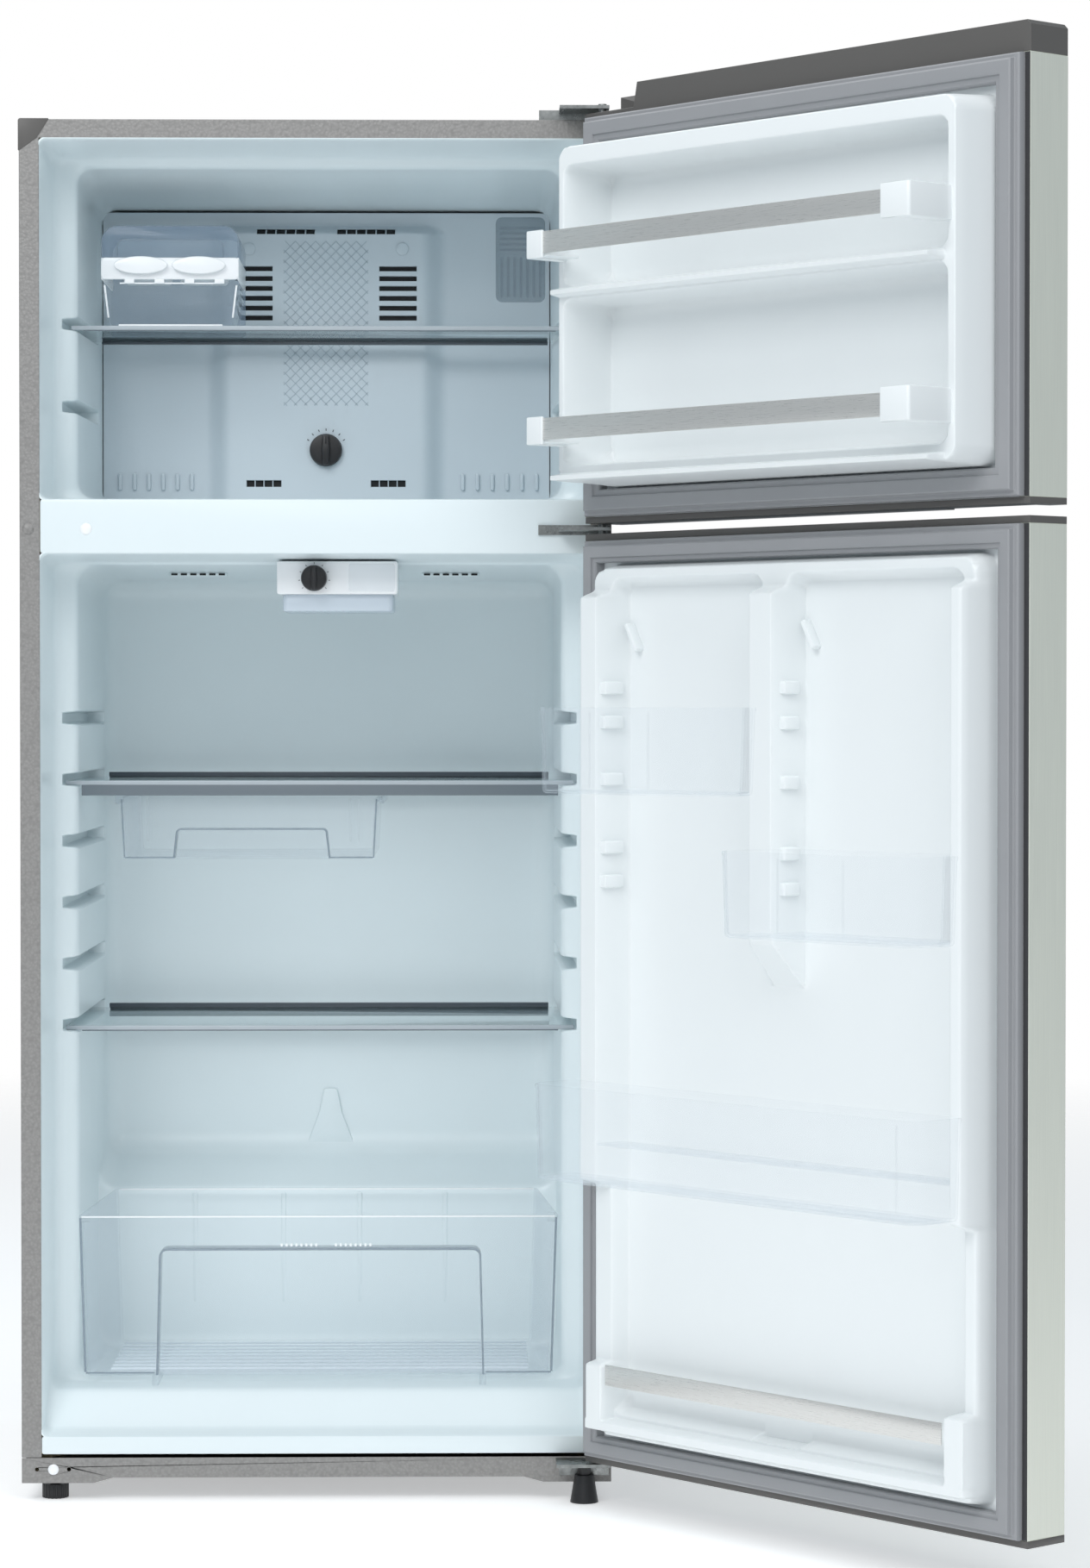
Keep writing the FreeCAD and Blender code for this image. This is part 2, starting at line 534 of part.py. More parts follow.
def freezer_door():
    rim, lip, floor = 95.0, 112.0, 29.0
    dyke = door_box(24, 662, PLATE_W, rim, 1210, 1607.5)
    core = door_box(26, 660, PLATE_W, rim - SHEET, 1212, 1605.5)
    pockets = [(1447, 1590), (1237, 1434)]
    lips = [door_box(24, 640, rim, lip, 1434, 1447), door_box(24, 640, rim, lip, 1212, 1224)]
    tools = [door_box(40, 644, floor, 200, a, b) for a, b in pockets]
    core_tools = [door_box(40, 644, floor, 200, a, b, SHEET) for a, b in pockets]
    door_shell("freezer_door", FREEZER_DOOR, FREEZER_GASKET, [core], tools, [dyke] + lips,
               core_tools)

    # retainer bars: two strips held by four end brackets
    strips, brackets = [], []
    for z in (1265.5, 1481.5):
        strips.append(door_box(46, 626, 148, 149.5, z, z + 26))
        left = fuse([door_box(33, 45.5, 95, 151.5, z - 5, z + 28),
                     door_box(33, 70, 145, 147.6, z - 3, z + 28)])
        right = fuse([door_box(627, 649, 95, 151.5, z - 6, z + 33),
                      door_box(602, 649, 145, 147.6, z - 3, z + 30)])
        brackets += [left, right]
    add_door("freezer_retainer_strips", Part.makeCompound(strips))
    add_door("freezer_retainer_brackets", Part.makeCompound(brackets))

    bore = cyl_z(BUSH_R, 1100, 1700, HINGE_X, HINGE_Y)
    x_end = HINGE_X - 78
    base = mid_box(CASE_HALF, DOOR_FRONT, DOOR_BACK, FREEZER_DOOR[1], FREEZER_CAP_BASE)
    outline = [(-CASE_HALF, FREEZER_CAP_BASE), (x_end + 6, FREEZER_CAP_BASE),
               (x_end, FREEZER_CAP_TOP), (-CASE_HALF + 5, FREEZER_CAP_TOP),
               (-CASE_HALF, FREEZER_CAP_TOP - 5)]
    hood = front_prism(outline, DOOR_FRONT, DOOR_BACK)
    hood = hood.cut(box(-CASE_HALF + 3, x_end - 4, DOOR_FRONT + 3, DOOR_BACK - 3,
                        FREEZER_CAP_BASE, FREEZER_CAP_TOP - 3))
    wall = box(x_end, CASE_HALF, DOOR_FRONT, DOOR_FRONT + 3, FREEZER_CAP_BASE, FREEZER_CAP_TOP - 4)
    add_door("freezer_door_top_cap", fuse([base, hood, wall]).cut(bore))
    low = mid_box(CASE_HALF, DOOR_FRONT, DOOR_BACK, FREEZER_CAP_BOTTOM, FREEZER_DOOR[0])
    pull = box(-330, -190, DOOR_FRONT - 1, DOOR_FRONT + 22, FREEZER_CAP_BOTTOM - 1,
               FREEZER_CAP_BOTTOM + 5)
    add_door("freezer_door_bottom_cap", cut(low, [bore, pull]))
    bushes = []
    for z0, z1 in ((FREEZER_CAP_BOTTOM, FREEZER_DOOR[0]), (FREEZER_DOOR[1], FREEZER_CAP_BASE)):
        bushes.append(cyl_z(BUSH_R, z0, z1, HINGE_X, HINGE_Y)
                      .cut(cyl_z(PIN_R + RUN, z0 - 1, z1 + 1, HINGE_X, HINGE_Y)))
    add_door("freezer_door_bushes", Part.makeCompound(bushes))


def divider_foot(floor, grow):
    """The room under the slanted lower end of the liner's middle divider."""
    slope = 1.13
    high = 638.0 + 1.51 * grow
    points = [(floor - grow, 630.0), (200.0, 630.0), (200.0, high + slope * (200.0 - floor)),
              (floor - grow, high - slope * grow)]
    x0, x1 = door_x(323.0, 358.0)
    return prism([V(x0, HINGE_Y + w, z) for w, z in points], V(x1 - x0, 0, 0))


def fridge_door():
    rim, top_rim, low_rim, floor = 70.0, 47.0, 45.0, 24.0
    zones = [(89, 440, low_rim), (440, 1086, rim), (1086, 1126, top_rim)]
    dykes = [door_box(30, 656, PLATE_W, w, a, b) for a, b, w in zones]
    cores = [door_box(32, 654, PLATE_W, w - SHEET, a + (SHEET if w != rim else 0),
                      b - (SHEET if w != rim else 0)) for a, b, w in zones]
    left = (64, 324)
    right = (357, 634)
    rooms = [(left, 640, 1109), (right, 640, 1109), ((64, 634), 440, 640), ((64, 634), 121, 440)]
    tools = [door_box(u[0], u[1], floor, 200, a, b) for u, a, b in rooms]
    core_tools = [door_box(u[0], u[1], floor, 200, a, b, SHEET) for u, a, b in rooms]
    tools.append(divider_foot(floor, 0.0))
    core_tools.append(divider_foot(floor, SHEET))
    pegs = []
    for z in (752, 792, 872, 939, 979):
        pegs.append(door_box(64, 69, 46, 58, z - 7, z + 5))
        pegs.append(door_box(319, 324, 46, 58, z - 7, z + 5))
        pegs.append(door_box(357, 362, 46, 58, z - 7, z + 5))
        pegs.append(door_box(629, 634, 46, 58, z - 7, z + 5))
    ledge = door_box(30, 656, low_rim, 64, 100, 119)
    posts = [door_box(38, 72, low_rim, 64, 119, 186), door_box(614, 654, low_rim, 64, 119, 194)]
    door_shell("fridge_door", FRIDGE_DOOR, FRIDGE_GASKET, cores, tools,
               dykes + [ledge] + posts, core_tools)
    NODES["fridge_door_liner"] = fuse([NODES["fridge_door_liner"]] + [opened(p) for p in pegs])
    add_door("fridge_retainer_strip", door_box(72.3, 613.7, 60, 61.5, 158, 183))

    bore = cyl_z(BUSH_R, 0, 1200, HINGE_X, HINGE_Y)
    top = mid_box(CASE_HALF, DOOR_FRONT, DOOR_BACK, FRIDGE_DOOR[1], FRIDGE_CAP_TOP)
    pull = box(-330, -190, DOOR_FRONT - 1, DOOR_FRONT + 22, FRIDGE_CAP_TOP - 5.5, FRIDGE_CAP_TOP + 1)
    add_door("fridge_door_top_cap", cut(top, [bore, pull]))
    low = mid_box(CASE_HALF, DOOR_FRONT, DOOR_BACK, FRIDGE_CAP_BOTTOM, FRIDGE_DOOR[0])
    add_door("fridge_door_bottom_cap", low.cut(bore))
    bushes = []
    for z0, z1 in ((FRIDGE_CAP_BOTTOM, FRIDGE_DOOR[0]), (FRIDGE_DOOR[1], FRIDGE_CAP_TOP)):
        bushes.append(cyl_z(BUSH_R, z0, z1, HINGE_X, HINGE_Y)
                      .cut(cyl_z(PIN_R + RUN, z0 - 1, z1 + 1, HINGE_X, HINGE_Y)))
    add_door("fridge_door_bushes", Part.makeCompound(bushes))


def door_bin(name, front_u, back_u, z0, z1):
    """A clear bin: a wide front part outside the liner's rim and a narrow part behind it."""
    clear = 72.0
    a, b = front_u
    c, d = back_u
    facet = 14.0
    outline = [(c, 27.0), (d, 27.0), (d, clear), (b, clear), (b, 128.0), (b - facet, 148.0),
               (a + facet, 148.0), (a, 128.0), (a, clear), (c, clear)]
    t = WALL
    inner = [(c + t, 27.0 + t), (d - t, 27.0 + t), (d - t, clear + t), (b - t, clear + t),
             (b - t, 127.0), (b - facet - 1, 148.0 - t), (a + facet + 1, 148.0 - t),
             (a + t, 127.0), (a + t, clear + t), (c + t, clear + t)]

    def block(points, low, high):
        return plan_prism([(HINGE_X - u, HINGE_Y + w) for u, w in points], low, high)

    shell = block(outline, z0, z1).cut(block(inner, z0 + WALL, z1 + 1))
    shell = shell.cut(door_box(c + 12, d - 12, 20, 40, z0 + 45, z1 + 1))
    add_door(name, shell)


def bins():
    door_bin("upper_door_bin", (41, 339), (70.5, 317.5), 856.0, 956.0)
    door_bin("middle_door_bin", (347, 649), (363.5, 627.5), 700.0, 797.0)
    door_bin("lower_door_bin", (30, 656), (65.5, 632.5), 441.5, 517.0)
    deep = plan_prism([(HINGE_X - u, HINGE_Y + w) for u, w in
                       [(31, 73), (655, 73), (655, 128), (642, 148), (44, 148), (31, 128)]], 405, 441.5)
    deep_in = plan_prism([(HINGE_X - u, HINGE_Y + w) for u, w in
                          [(33.5, 75.5), (652.5, 75.5), (652.5, 127), (641, 145.5), (45, 145.5),
                           (33.5, 127)]], 407.5, 445)
    upper = NODES["lower_door_bin"]
    NODES["lower_door_bin"] = fuse([upper, opened(deep)]).cut(opened(deep_in))


cabinet()
base()
hinges()
freezer_fittings()
shelves()
control()
freezer_door()
fridge_door()
bins()

for node, shape in sorted(NODES.items()):
    shape.exportStep("parts/" + node + ".step")
    bound = shape.BoundBox
    print("%-28s solids %2d valid %s volume %9.0f  z %7.1f %7.1f" % (
        node, len(shape.Solids), shape.isValid(), shape.Volume, bound.ZMin, bound.ZMax))
print(len(NODES), "nodes")
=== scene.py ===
"""Looks of the top freezer refrigerator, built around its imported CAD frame.

Helpers work in millimetres. Cabinet pieces use the frame's own axes. Door pieces are laid out
on the open door itself: u runs from the hinge axis to the handle edge, w from the hinge axis
into the cabinet when the door is shut, and z is up.
"""
import json
import math

import bmesh
import bpy
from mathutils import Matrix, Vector


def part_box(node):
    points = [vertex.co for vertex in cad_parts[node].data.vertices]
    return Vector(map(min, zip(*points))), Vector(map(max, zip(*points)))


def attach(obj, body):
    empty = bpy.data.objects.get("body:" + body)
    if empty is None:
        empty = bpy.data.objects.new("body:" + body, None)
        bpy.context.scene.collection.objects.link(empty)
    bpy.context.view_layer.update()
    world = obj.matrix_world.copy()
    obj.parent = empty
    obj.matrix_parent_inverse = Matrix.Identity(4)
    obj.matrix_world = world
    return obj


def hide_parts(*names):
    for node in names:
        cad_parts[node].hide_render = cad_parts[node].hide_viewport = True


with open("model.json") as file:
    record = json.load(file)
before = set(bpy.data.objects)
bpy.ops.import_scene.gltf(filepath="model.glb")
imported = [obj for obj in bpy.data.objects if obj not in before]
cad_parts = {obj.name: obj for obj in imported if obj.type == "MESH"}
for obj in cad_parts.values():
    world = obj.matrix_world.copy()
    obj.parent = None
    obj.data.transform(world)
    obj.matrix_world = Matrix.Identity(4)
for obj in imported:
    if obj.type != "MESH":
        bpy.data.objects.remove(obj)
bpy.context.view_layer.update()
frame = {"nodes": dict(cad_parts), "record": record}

nodes = frame["nodes"]
joints = {joint["name"]: joint for joint in frame["record"]["behaviour"]["joints"]}

MM = 0.001
DOOR_OPEN = math.radians(-joints["freezer_door_hinge"]["range_deg"][0])
GASKET_HALF = 348.0          # half the width of a door gasket
SHEET = 1.8                  # thermoformed sheet of the liners
FREEZER_STEP = 124.0         # depths where the two liners step in
FRIDGE_STEP = 116.0
COVER_FACE = 350.0           # depth of the evaporator cover's raised panel
COVER_LOW_FACE = 372.0       # and of the cover beside it
HUMP_FACE = 366.5            # depth of the compressor hump
PANEL = 16.4                 # depth of a door's inner steel plane, from the hinge axis
GRID_NEAR = (0.0, 1.5, 3.0, 4.5, 6.0, 7.5, 9.0)
GRID_COARSE = 14.0
CORNER_STEPS = 6
ICE_LEFT, ICE_RIGHT = -271.0, -99.0
DECK_LOW, DECK_TOP = 1483.0, 1510.0


def node_box(name):
    """Lowest and highest corner of a CAD node, in millimetres."""
    low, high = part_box(name)
    return Vector(low) / MM, Vector(high) / MM


def pivot(joint):
    """Where a joint's axis stands, in millimetres."""
    return [value / MM for value in joints[joint]["pos_m"]]


HINGE_X, HINGE_Y, _ = pivot("freezer_door_hinge")


# ------------------------------------------------------------------ places
def cabinet_place(x, y, z):
    return Vector((x, y, z)) * MM


def door_place(u, w, z):
    """A point of the open door, from its u, w and z."""
    c, s = math.cos(DOOR_OPEN), math.sin(DOOR_OPEN)
    return Vector((HINGE_X - u * c - w * s, HINGE_Y - u * s + w * c, z)) * MM


# ------------------------------------------------------------------ outlines
def rectangle(x0, x1, y0, y1):
    return [(x0, y0), (x1, y0), (x1, y1), (x0, y1)]


def circle(cx, cy, r, count=40, flat=1.0):
    step = 2 * math.pi / count
    return [(cx + r * math.cos(k * step), cy + r * flat * math.sin(k * step))
            for k in range(count)]


def area(points):
    pairs = zip(points, points[1:] + points[:1])
    return sum(a[0] * b[1] - b[0] * a[1] for a, b in pairs) / 2


def outline(points, radius=0.0, inset=0.0, steps=5):
    """A closed outline with every corner rounded, moved inwards by inset.

    The same points give the same number of outline points whatever the inset is, so that
    outlines at several insets can be joined into a surface.
    """
    if area(points) < 0:
        points = points[::-1]
        if not isinstance(radius, (int, float)):
            radius = radius[::-1]
    count = len(points)
    radii = [radius] * count if isinstance(radius, (int, float)) else list(radius)
    result = []
    for k in range(count):
        before, here, after = (Vector(points[k - 1]), Vector(points[k]),
                               Vector(points[(k + 1) % count]))
        inward, outward = (here - before).normalized(), (after - here).normalized()
        turn = math.atan2(inward.x * outward.y - inward.y * outward.x, inward.dot(outward))
        bisector = Vector((-inward.y, inward.x)) + Vector((-outward.y, outward.x))
        corner = here + bisector.normalized() * inset / max(math.cos(turn / 2), 0.2)
        if radii[k] <= 0:
            result.append((corner.x, corner.y))
            continue
        r = max(radii[k] - math.copysign(inset, turn), 0.05)
        reach = r * math.tan(abs(turn) / 2)
        start = corner - inward * reach
        side = Vector((-inward.y, inward.x)) * math.copysign(r, turn)
        centre = start + side
        for i in range(steps + 1):
            angle = turn * i / steps
            c, s = math.cos(angle), math.sin(angle)
            spoke = Vector((-side.x * c + side.y * s, -side.x * s - side.y * c))
            point = centre + spoke
            result.append((point.x, point.y))
    return result


# ------------------------------------------------------------------ meshes
def band(a, b, count):
    """The faces between two rings of points that start at a and b."""
    return [(a + i, a + (i + 1) % count, b + (i + 1) % count, b + i) for i in range(count)]


def stack(rings):
    """Joins rings of equal length into a surface that is capped at both ends."""
    count = len(rings[0])
    points = [p for ring in rings for p in ring]
    faces = []
    for k in range(len(rings) - 1):
        faces += band(k * count, (k + 1) * count, count)
    faces.append(tuple(range(count))[::-1])
    faces.append(tuple(range(len(points) - count, len(points))))
    return points, faces


AXES = {"x": lambda a, b, t: (t, a, b), "y": lambda a, b, t: (a, t, b), "z": lambda a, b, t: (a, b, t)}


def slab(points, radius, low, high, edge=1.0, axis="z"):
    """A plate of any outline with rounded corners and rounded rims, along one axis."""
    levels = [(low, edge), (low + 0.3 * edge, 0.3 * edge), (low + edge, 0.0),
              (high - edge, 0.0), (high - 0.3 * edge, 0.3 * edge), (high, edge)]
    place = AXES[axis]
    return stack([[place(a, b, t) for a, b in outline(points, radius, inset)]
                  for t, inset in levels])


def turned(profile, centre, count=48):
    """A solid of revolution round a level axis: profile is a list of (radius, depth)."""
    return stack([[(x, y, z) for x, z in circle(*centre, r, count)] for r, y in profile])


def tub(points, radius, z0, z1, wall=2.4, taper=6.0, lip=1.2, floor=2.6):
    """A thin open tub: tapering walls, a rounded bottom and a beaded rim."""
    def inset_at(z):
        return taper * (z1 - z) / (z1 - z0)

    levels = [(z0, taper + 4.0), (z0 + 1.2, taper + 1.4), (z0 + 4.0, inset_at(z0 + 4.0)),
              (z1 - 5.0, inset_at(z1 - 5.0)), (z1 - 4.4, -lip + 0.4), (z1 - 3.6, -lip),
              (z1 - 0.8, -lip), (z1, -lip + 0.7), (z1, wall - 0.6), (z1 - 0.6, wall),
              (z0 + floor + 4.0, inset_at(z0 + 6.0) + wall),
              (z0 + floor + 1.0, taper + wall + 1.2), (z0 + floor, taper + wall + 4.0)]
    return stack([[(a, b, z) for a, b in outline(points, radius, inset, steps=6)]
                  for z, inset in levels])


def along(points, section):
    """A bar of a given cross-section swept round a closed rectangle with mitred corners."""
    rings = [[(a, b, h) for a, b in outline(points, 0, s)] for s, h in section]
    count = len(rings[0])
    verts = [p for ring in rings for p in ring]
    faces = []
    for k in range(len(rings)):
        faces += band(k * count, (k + 1) % len(rings) * count, count)
    return verts, faces


def relief(us, zs, height, thickness, shade=None, flat=None):
    """A sheet over a grid, as high as height(u, z) says, with a back that follows it or is flat."""
    columns, rows = len(us), len(zs)
    front = [(u, height(u, z), z) for z in zs for u in us]
    back = [(u, w - thickness if flat is None else flat, z) for u, w, z in front]
    size = columns * rows
    faces, marks = [], []
    for r in range(rows - 1):
        for c in range(columns - 1):
            a = r * columns + c
            quad = (a, a + 1, a + columns + 1, a + columns)
            faces.append(quad)
            faces.append(tuple(size + k for k in quad[::-1]))
            mark = shade((us[c] + us[c + 1]) / 2, (zs[r] + zs[r + 1]) / 2) if shade else 0
            marks += [mark, 0]
    rim = (list(range(columns)) + [r * columns + columns - 1 for r in range(1, rows)]
           + [(rows - 1) * columns + c for c in range(columns - 2, -1, -1)]
           + [r * columns for r in range(rows - 2, 0, -1)])
    for a, b in zip(rim, rim[1:] + rim[:1]):
        faces.append((b, a, size + a, size + b))
        marks.append(0)
    return front + back, faces, marks


def grid_lines(low, high, edges):
    """Grid positions from low to high: fine ones round each edge, coarse ones between."""
    marks = {low, high}
    for edge in edges:
        marks |= {edge + step for step in GRID_NEAR} | {edge - step for step in GRID_NEAR}
        marks |= {edge - 1.0, edge + 1.0}
    marks = sorted(m for m in marks if low <= m <= high)
    result = [marks[0]]
    for mark in marks[1:]:
        start = result[-1]
        gap = mark - start
        if gap < 0.35:
            continue
        parts = max(1, math.ceil(gap / GRID_COARSE))
        result += [start + gap * k / parts for k in range(1, parts + 1)]
    return result


def joined(*parts):
    """Several solids in one mesh."""
    verts, faces = [], []
    for points, polygons in parts:
        shift = len(verts)
        verts += points
        faces += [tuple(shift + k for k in polygon) for polygon in polygons]
    return verts, faces


def piece(name, shape, material, body, replaces=(), door=False, sharp=38.0, marks=None):
    """Makes an object of a shape given in millimetres and ties it to a body of the frame."""
    place = door_place if door else cabinet_place
    mesh = bpy.data.meshes.new(name)
    mesh.from_pydata([place(*p) for p in shape[0]], [], shape[1])
    materials = material if isinstance(material, (list, tuple)) else [material]
    for m in materials:
        mesh.materials.append(m)
    if marks:
        mesh.polygons.foreach_set("material_index", marks)
    work = bmesh.new()
    work.from_mesh(mesh)
    bmesh.ops.recalc_face_normals(work, faces=work.faces)
    work.to_mesh(mesh)
    work.free()
    mesh.polygons.foreach_set("use_smooth", [True] * len(mesh.polygons))
    mesh.set_sharp_from_angle(angle=math.radians(sharp))
    mesh.validate()
    item = bpy.data.objects.new(name, mesh)
    bpy.context.scene.collection.objects.link(item)
    if materials[0] in SEE_THROUGH:
        item.visible_shadow = False
        item.visible_diffuse = False
    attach(item, body)
    if replaces:
        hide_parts(*replaces)


def dress(name, material, bevel=0.0):
    """Gives a CAD node its material and softens its edges."""
    item = nodes[name]
    item.data.materials.clear()
    item.data.materials.append(material)
    if bevel:
        item.modifiers.new("weld", "WELD").merge_threshold = 0.001 * MM
        modifier = item.modifiers.new("edge", "BEVEL")
        modifier.width = bevel * MM
        modifier.segments = 3
        modifier.limit_method = "ANGLE"
        modifier.angle_limit = math.radians(35)


# ------------------------------------------------------------------ materials
def linear(r, g, b):
    """A colour seen on a screen, 0 to 255, as the shader wants it."""
    def channel(v):
        v /= 255
        return v / 12.92 if v <= 0.04045 else ((v + 0.055) / 1.055) ** 2.4
    return (channel(r), channel(g), channel(b), 1.0)


class Shader:
    """Short names for building one node material."""

    def __init__(self, name, **settings):
        self.material = bpy.data.materials.new(name)
        self.material.use_nodes = True
        self.tree = self.material.node_tree
        self.bsdf = self.tree.nodes["Principled BSDF"]
        for key, value in settings.items():
            self.bsdf.inputs[key.replace("_", " ")].default_value = value
        coordinates = self.tree.nodes.new("ShaderNodeTexCoord")
        self.place = coordinates.outputs["Object"]

    def node(self, kind, inputs=None, **options):
        made = self.tree.nodes.new("ShaderNode" + kind)
        for key, value in options.items():
            setattr(made, key, value)
        for key, value in (inputs or {}).items():
            if isinstance(value, bpy.types.NodeSocket):
                self.tree.links.new(value, made.inputs[key])
            else:
                made.inputs[key].default_value = value
        return made

    def noise(self, scale, detail=3.0, stretch=None, roughness=0.5):
        place = self.place
        if stretch:
            place = self.node("Mapping", {"Vector": place, "Scale": stretch}).outputs["Vector"]
        made = self.node("TexNoise", {"Vector": place, "Scale": scale, "Detail": detail,
                                      "Roughness": roughness})
        return made.outputs["Fac"]

    def cells(self, scale, feature="F1"):
        made = self.node("TexVoronoi", {"Vector": self.place, "Scale": scale}, feature=feature)
        return made.outputs["Distance"]

    def spread(self, source, low, high, begin=0.3, end=0.7):
        """Maps a texture to the range from low to high."""
        made = self.node("MapRange", {"Value": source, "From Min": begin, "From Max": end,
                                      "To Min": low, "To Max": high})
        return made.outputs["Result"]

    def math(self, operation, a, b):
        return self.node("Math", {0: a, 1: b}, operation=operation).outputs["Value"]

    def colours(self, factor, first, second):
        made = self.node("Mix", data_type="RGBA")
        self.tree.links.new(factor, made.inputs["Factor"])
        made.inputs["A"].default_value = first
        made.inputs["B"].default_value = second
        return made.outputs["Result"]

    def bump(self, source, strength, distance):
        made = self.node("Bump", {"Height": source, "Strength": strength,
                                  "Distance": distance * MM})
        self.tree.links.new(made.outputs["Normal"], self.bsdf.inputs["Normal"])

    def feed(self, socket, source):
        self.tree.links.new(source, self.bsdf.inputs[socket])


def shifted(colour, factor):
    return tuple(min(1.0, c * factor) for c in colour[:3]) + (1.0,)


def moulded(name, colour, rough=0.34, grain=0.05, grain_size=900.0, specular=0.5):
    """Moulded or thermoformed plastic: faint mottling and a fine skin."""
    s = Shader(name, Roughness=rough, Specular_IOR_Level=specular)
    s.feed("Base Color", s.colours(s.noise(9.0, 2.0), shifted(colour, 0.988), shifted(colour, 1.012)))
    s.bump(s.noise(grain_size, 2.0), grain, 0.012)
    return s.material


def leather_paint(name, colour):
    """Paint over sheet steel that is embossed with a fine leather grain."""
    s = Shader(name, Roughness=0.46, Metallic=0.15)
    wrinkle = s.cells(330.0, "SMOOTH_F1")
    s.feed("Base Color", s.colours(s.spread(wrinkle, 0.0, 1.0, 0.1, 0.8),
                                   shifted(colour, 1.10), shifted(colour, 0.84)))
    s.feed("Roughness", s.spread(s.noise(180.0), 0.42, 0.50))
    s.bump(s.math("ADD", wrinkle, s.math("MULTIPLY", s.noise(900.0, 2.0), 0.35)), 0.6, 0.7)
    return s.material


def brushed(name, colour, stretch, rough=0.28, metallic=1.0, strength=0.12, size=700.0, vary=0.08):
    """Brushed metal: long scratches across or along, and slow changes of tone."""
    s = Shader(name, Metallic=metallic, Roughness=rough)
    scratch = s.noise(size, 4.0, stretch=stretch, roughness=0.7)
    s.feed("Base Color", s.colours(scratch, shifted(colour, 1 - vary), shifted(colour, 1 + vary)))
    s.feed("Roughness", s.spread(scratch, rough - 0.06, rough + 0.10))
    s.bump(scratch, strength, 0.05)
    return s.material


def zinc(name, colour):
    """Zinc plated steel: bright, with blotchy crystals and a few dull patches."""
    s = Shader(name, Metallic=1.0, Roughness=0.3)
    spangle = s.cells(160.0)
    s.feed("Base Color", s.colours(spangle, shifted(colour, 1.12), shifted(colour, 0.74)))
    s.feed("Roughness", s.spread(s.noise(90.0, 5.0), 0.22, 0.48))
    s.bump(s.noise(420.0, 4.0), 0.10, 0.2)
    return s.material


def rubber(name, colour):
    """Grey gasket rubber: nearly even, with a dull skin."""
    s = Shader(name, Roughness=0.56)
    s.feed("Base Color", s.colours(s.noise(12.0, 2.0), shifted(colour, 0.97), shifted(colour, 1.03)))
    s.feed("Roughness", s.spread(s.noise(10.0), 0.52, 0.60))
    s.bump(s.noise(520.0, 3.0), 0.05, 0.06)
    return s.material


def clear(name, colour, face, edge, rough=0.06, wave=0.04):
    """Clear plastic or glass: see-through face on, denser where it is seen edge on."""
    s = Shader(name, Roughness=rough, IOR=1.5, Base_Color=colour)
    slope = s.node("LayerWeight", {"Blend": 0.30}).outputs["Facing"]
    s.feed("Alpha", s.spread(slope, face, edge, 0.42, 0.95))
    s.feed("Roughness", s.spread(s.noise(4.0), rough * 0.9, rough * 1.1))
    s.bump(s.noise(30.0, 2.0), wave, 0.3)
    SEE_THROUGH.append(s.material)
    return s.material


def foam_skin(name, colour):
    """Blown foam: blotchy colour and a skin of small cells."""
    s = Shader(name, Roughness=0.85)
    s.feed("Base Color", s.colours(s.noise(120.0, 6.0), shifted(colour, 0.82), shifted(colour, 1.1)))
    s.bump(s.cells(380.0), 0.5, 0.8)
    return s.material


SEE_THROUGH = []
WHITE = moulded("liner_white", linear(230, 240, 243), rough=0.30, grain=0.03)
DOOR_WHITE = moulded("door_liner_white", linear(237, 241, 242), rough=0.28, grain=0.03)
COVER_WHITE = moulded("cover_white", linear(232, 238, 242), rough=0.38, grain=0.06)
BRIGHT_WHITE = moulded("bright_white", linear(246, 248, 250), rough=0.30, grain=0.02)
COOL_WHITE = moulded("evaporator_cover_white", linear(206, 217, 224), rough=0.42, grain=0.05)
CASE = leather_paint("case_leather_grain", linear(145, 143, 141))
DOOR_STEEL = brushed("door_steel", linear(226, 228, 217), (1.0, 1.0, 0.012), rough=0.42,
                     metallic=0.35, strength=0.05)
CAP = moulded("cap_dark_grey", linear(98, 96, 94), rough=0.40, grain=0.04, specular=0.3)
GASKET = rubber("gasket_grey", linear(152, 153, 156))
# the dark ring round each door gasket is painted shade for the gap and the steel edge beside it
GAP_SHADE = moulded("gasket_gap_shade", linear(58, 58, 60), rough=0.45, grain=0.03)
STRIP = brushed("retainer_steel", linear(214, 213, 210), (0.012, 0.012, 1.0), rough=0.30,
                metallic=0.6, strength=0.08, size=2600.0, vary=0.03)
ZINC = zinc("zinc_plate", linear(146, 148, 147))
GALVANISED = zinc("galvanised_sheet", linear(168, 170, 172))
TRIM = moulded("shelf_trim_silver", linear(176, 184, 190), rough=0.26, grain=0.02)
APRON = moulded("shelf_apron_grey", linear(112, 121, 128), rough=0.30, grain=0.02)
GLASS = clear("shelf_glass", linear(176, 200, 206), 0.08, 0.46, rough=0.03, wave=0.0)
CLEAR = clear("clear_plastic", linear(204, 215, 224), 0.04, 0.74, rough=0.04)
EDGE = clear("clear_plastic_edge", linear(128, 142, 154), 0.60, 0.94, rough=0.08)
FROST = clear("frosted_plastic", linear(196, 210, 220), 0.22, 0.72, rough=0.18, wave=0.03)
HOOD = clear("ice_hood_plastic", linear(138, 158, 178), 0.30, 0.78, rough=0.10, wave=0.03)
LAMP_COVER = clear("lamp_cover_plastic", linear(138, 153, 163), 0.50, 0.86, rough=0.2, wave=0.03)
RIM = moulded("clear_plastic_edges", linear(214, 223, 231), rough=0.2, grain=0.02)
REAR = moulded("shelf_rear_rail", linear(72, 79, 86), rough=0.30, grain=0.02)
BLACK = moulded("black_plastic", linear(34, 34, 36), rough=0.36, grain=0.10)
DARK = moulded("shadow_inside_vents", linear(22, 24, 26), rough=0.7, grain=0.05)
BLACK_PAINT = moulded("black_paint", linear(24, 24, 26), rough=0.22, grain=0.08, grain_size=300.0)
HOUSING = moulded("housing_blue_grey", linear(203, 214, 224), rough=0.30, grain=0.03)
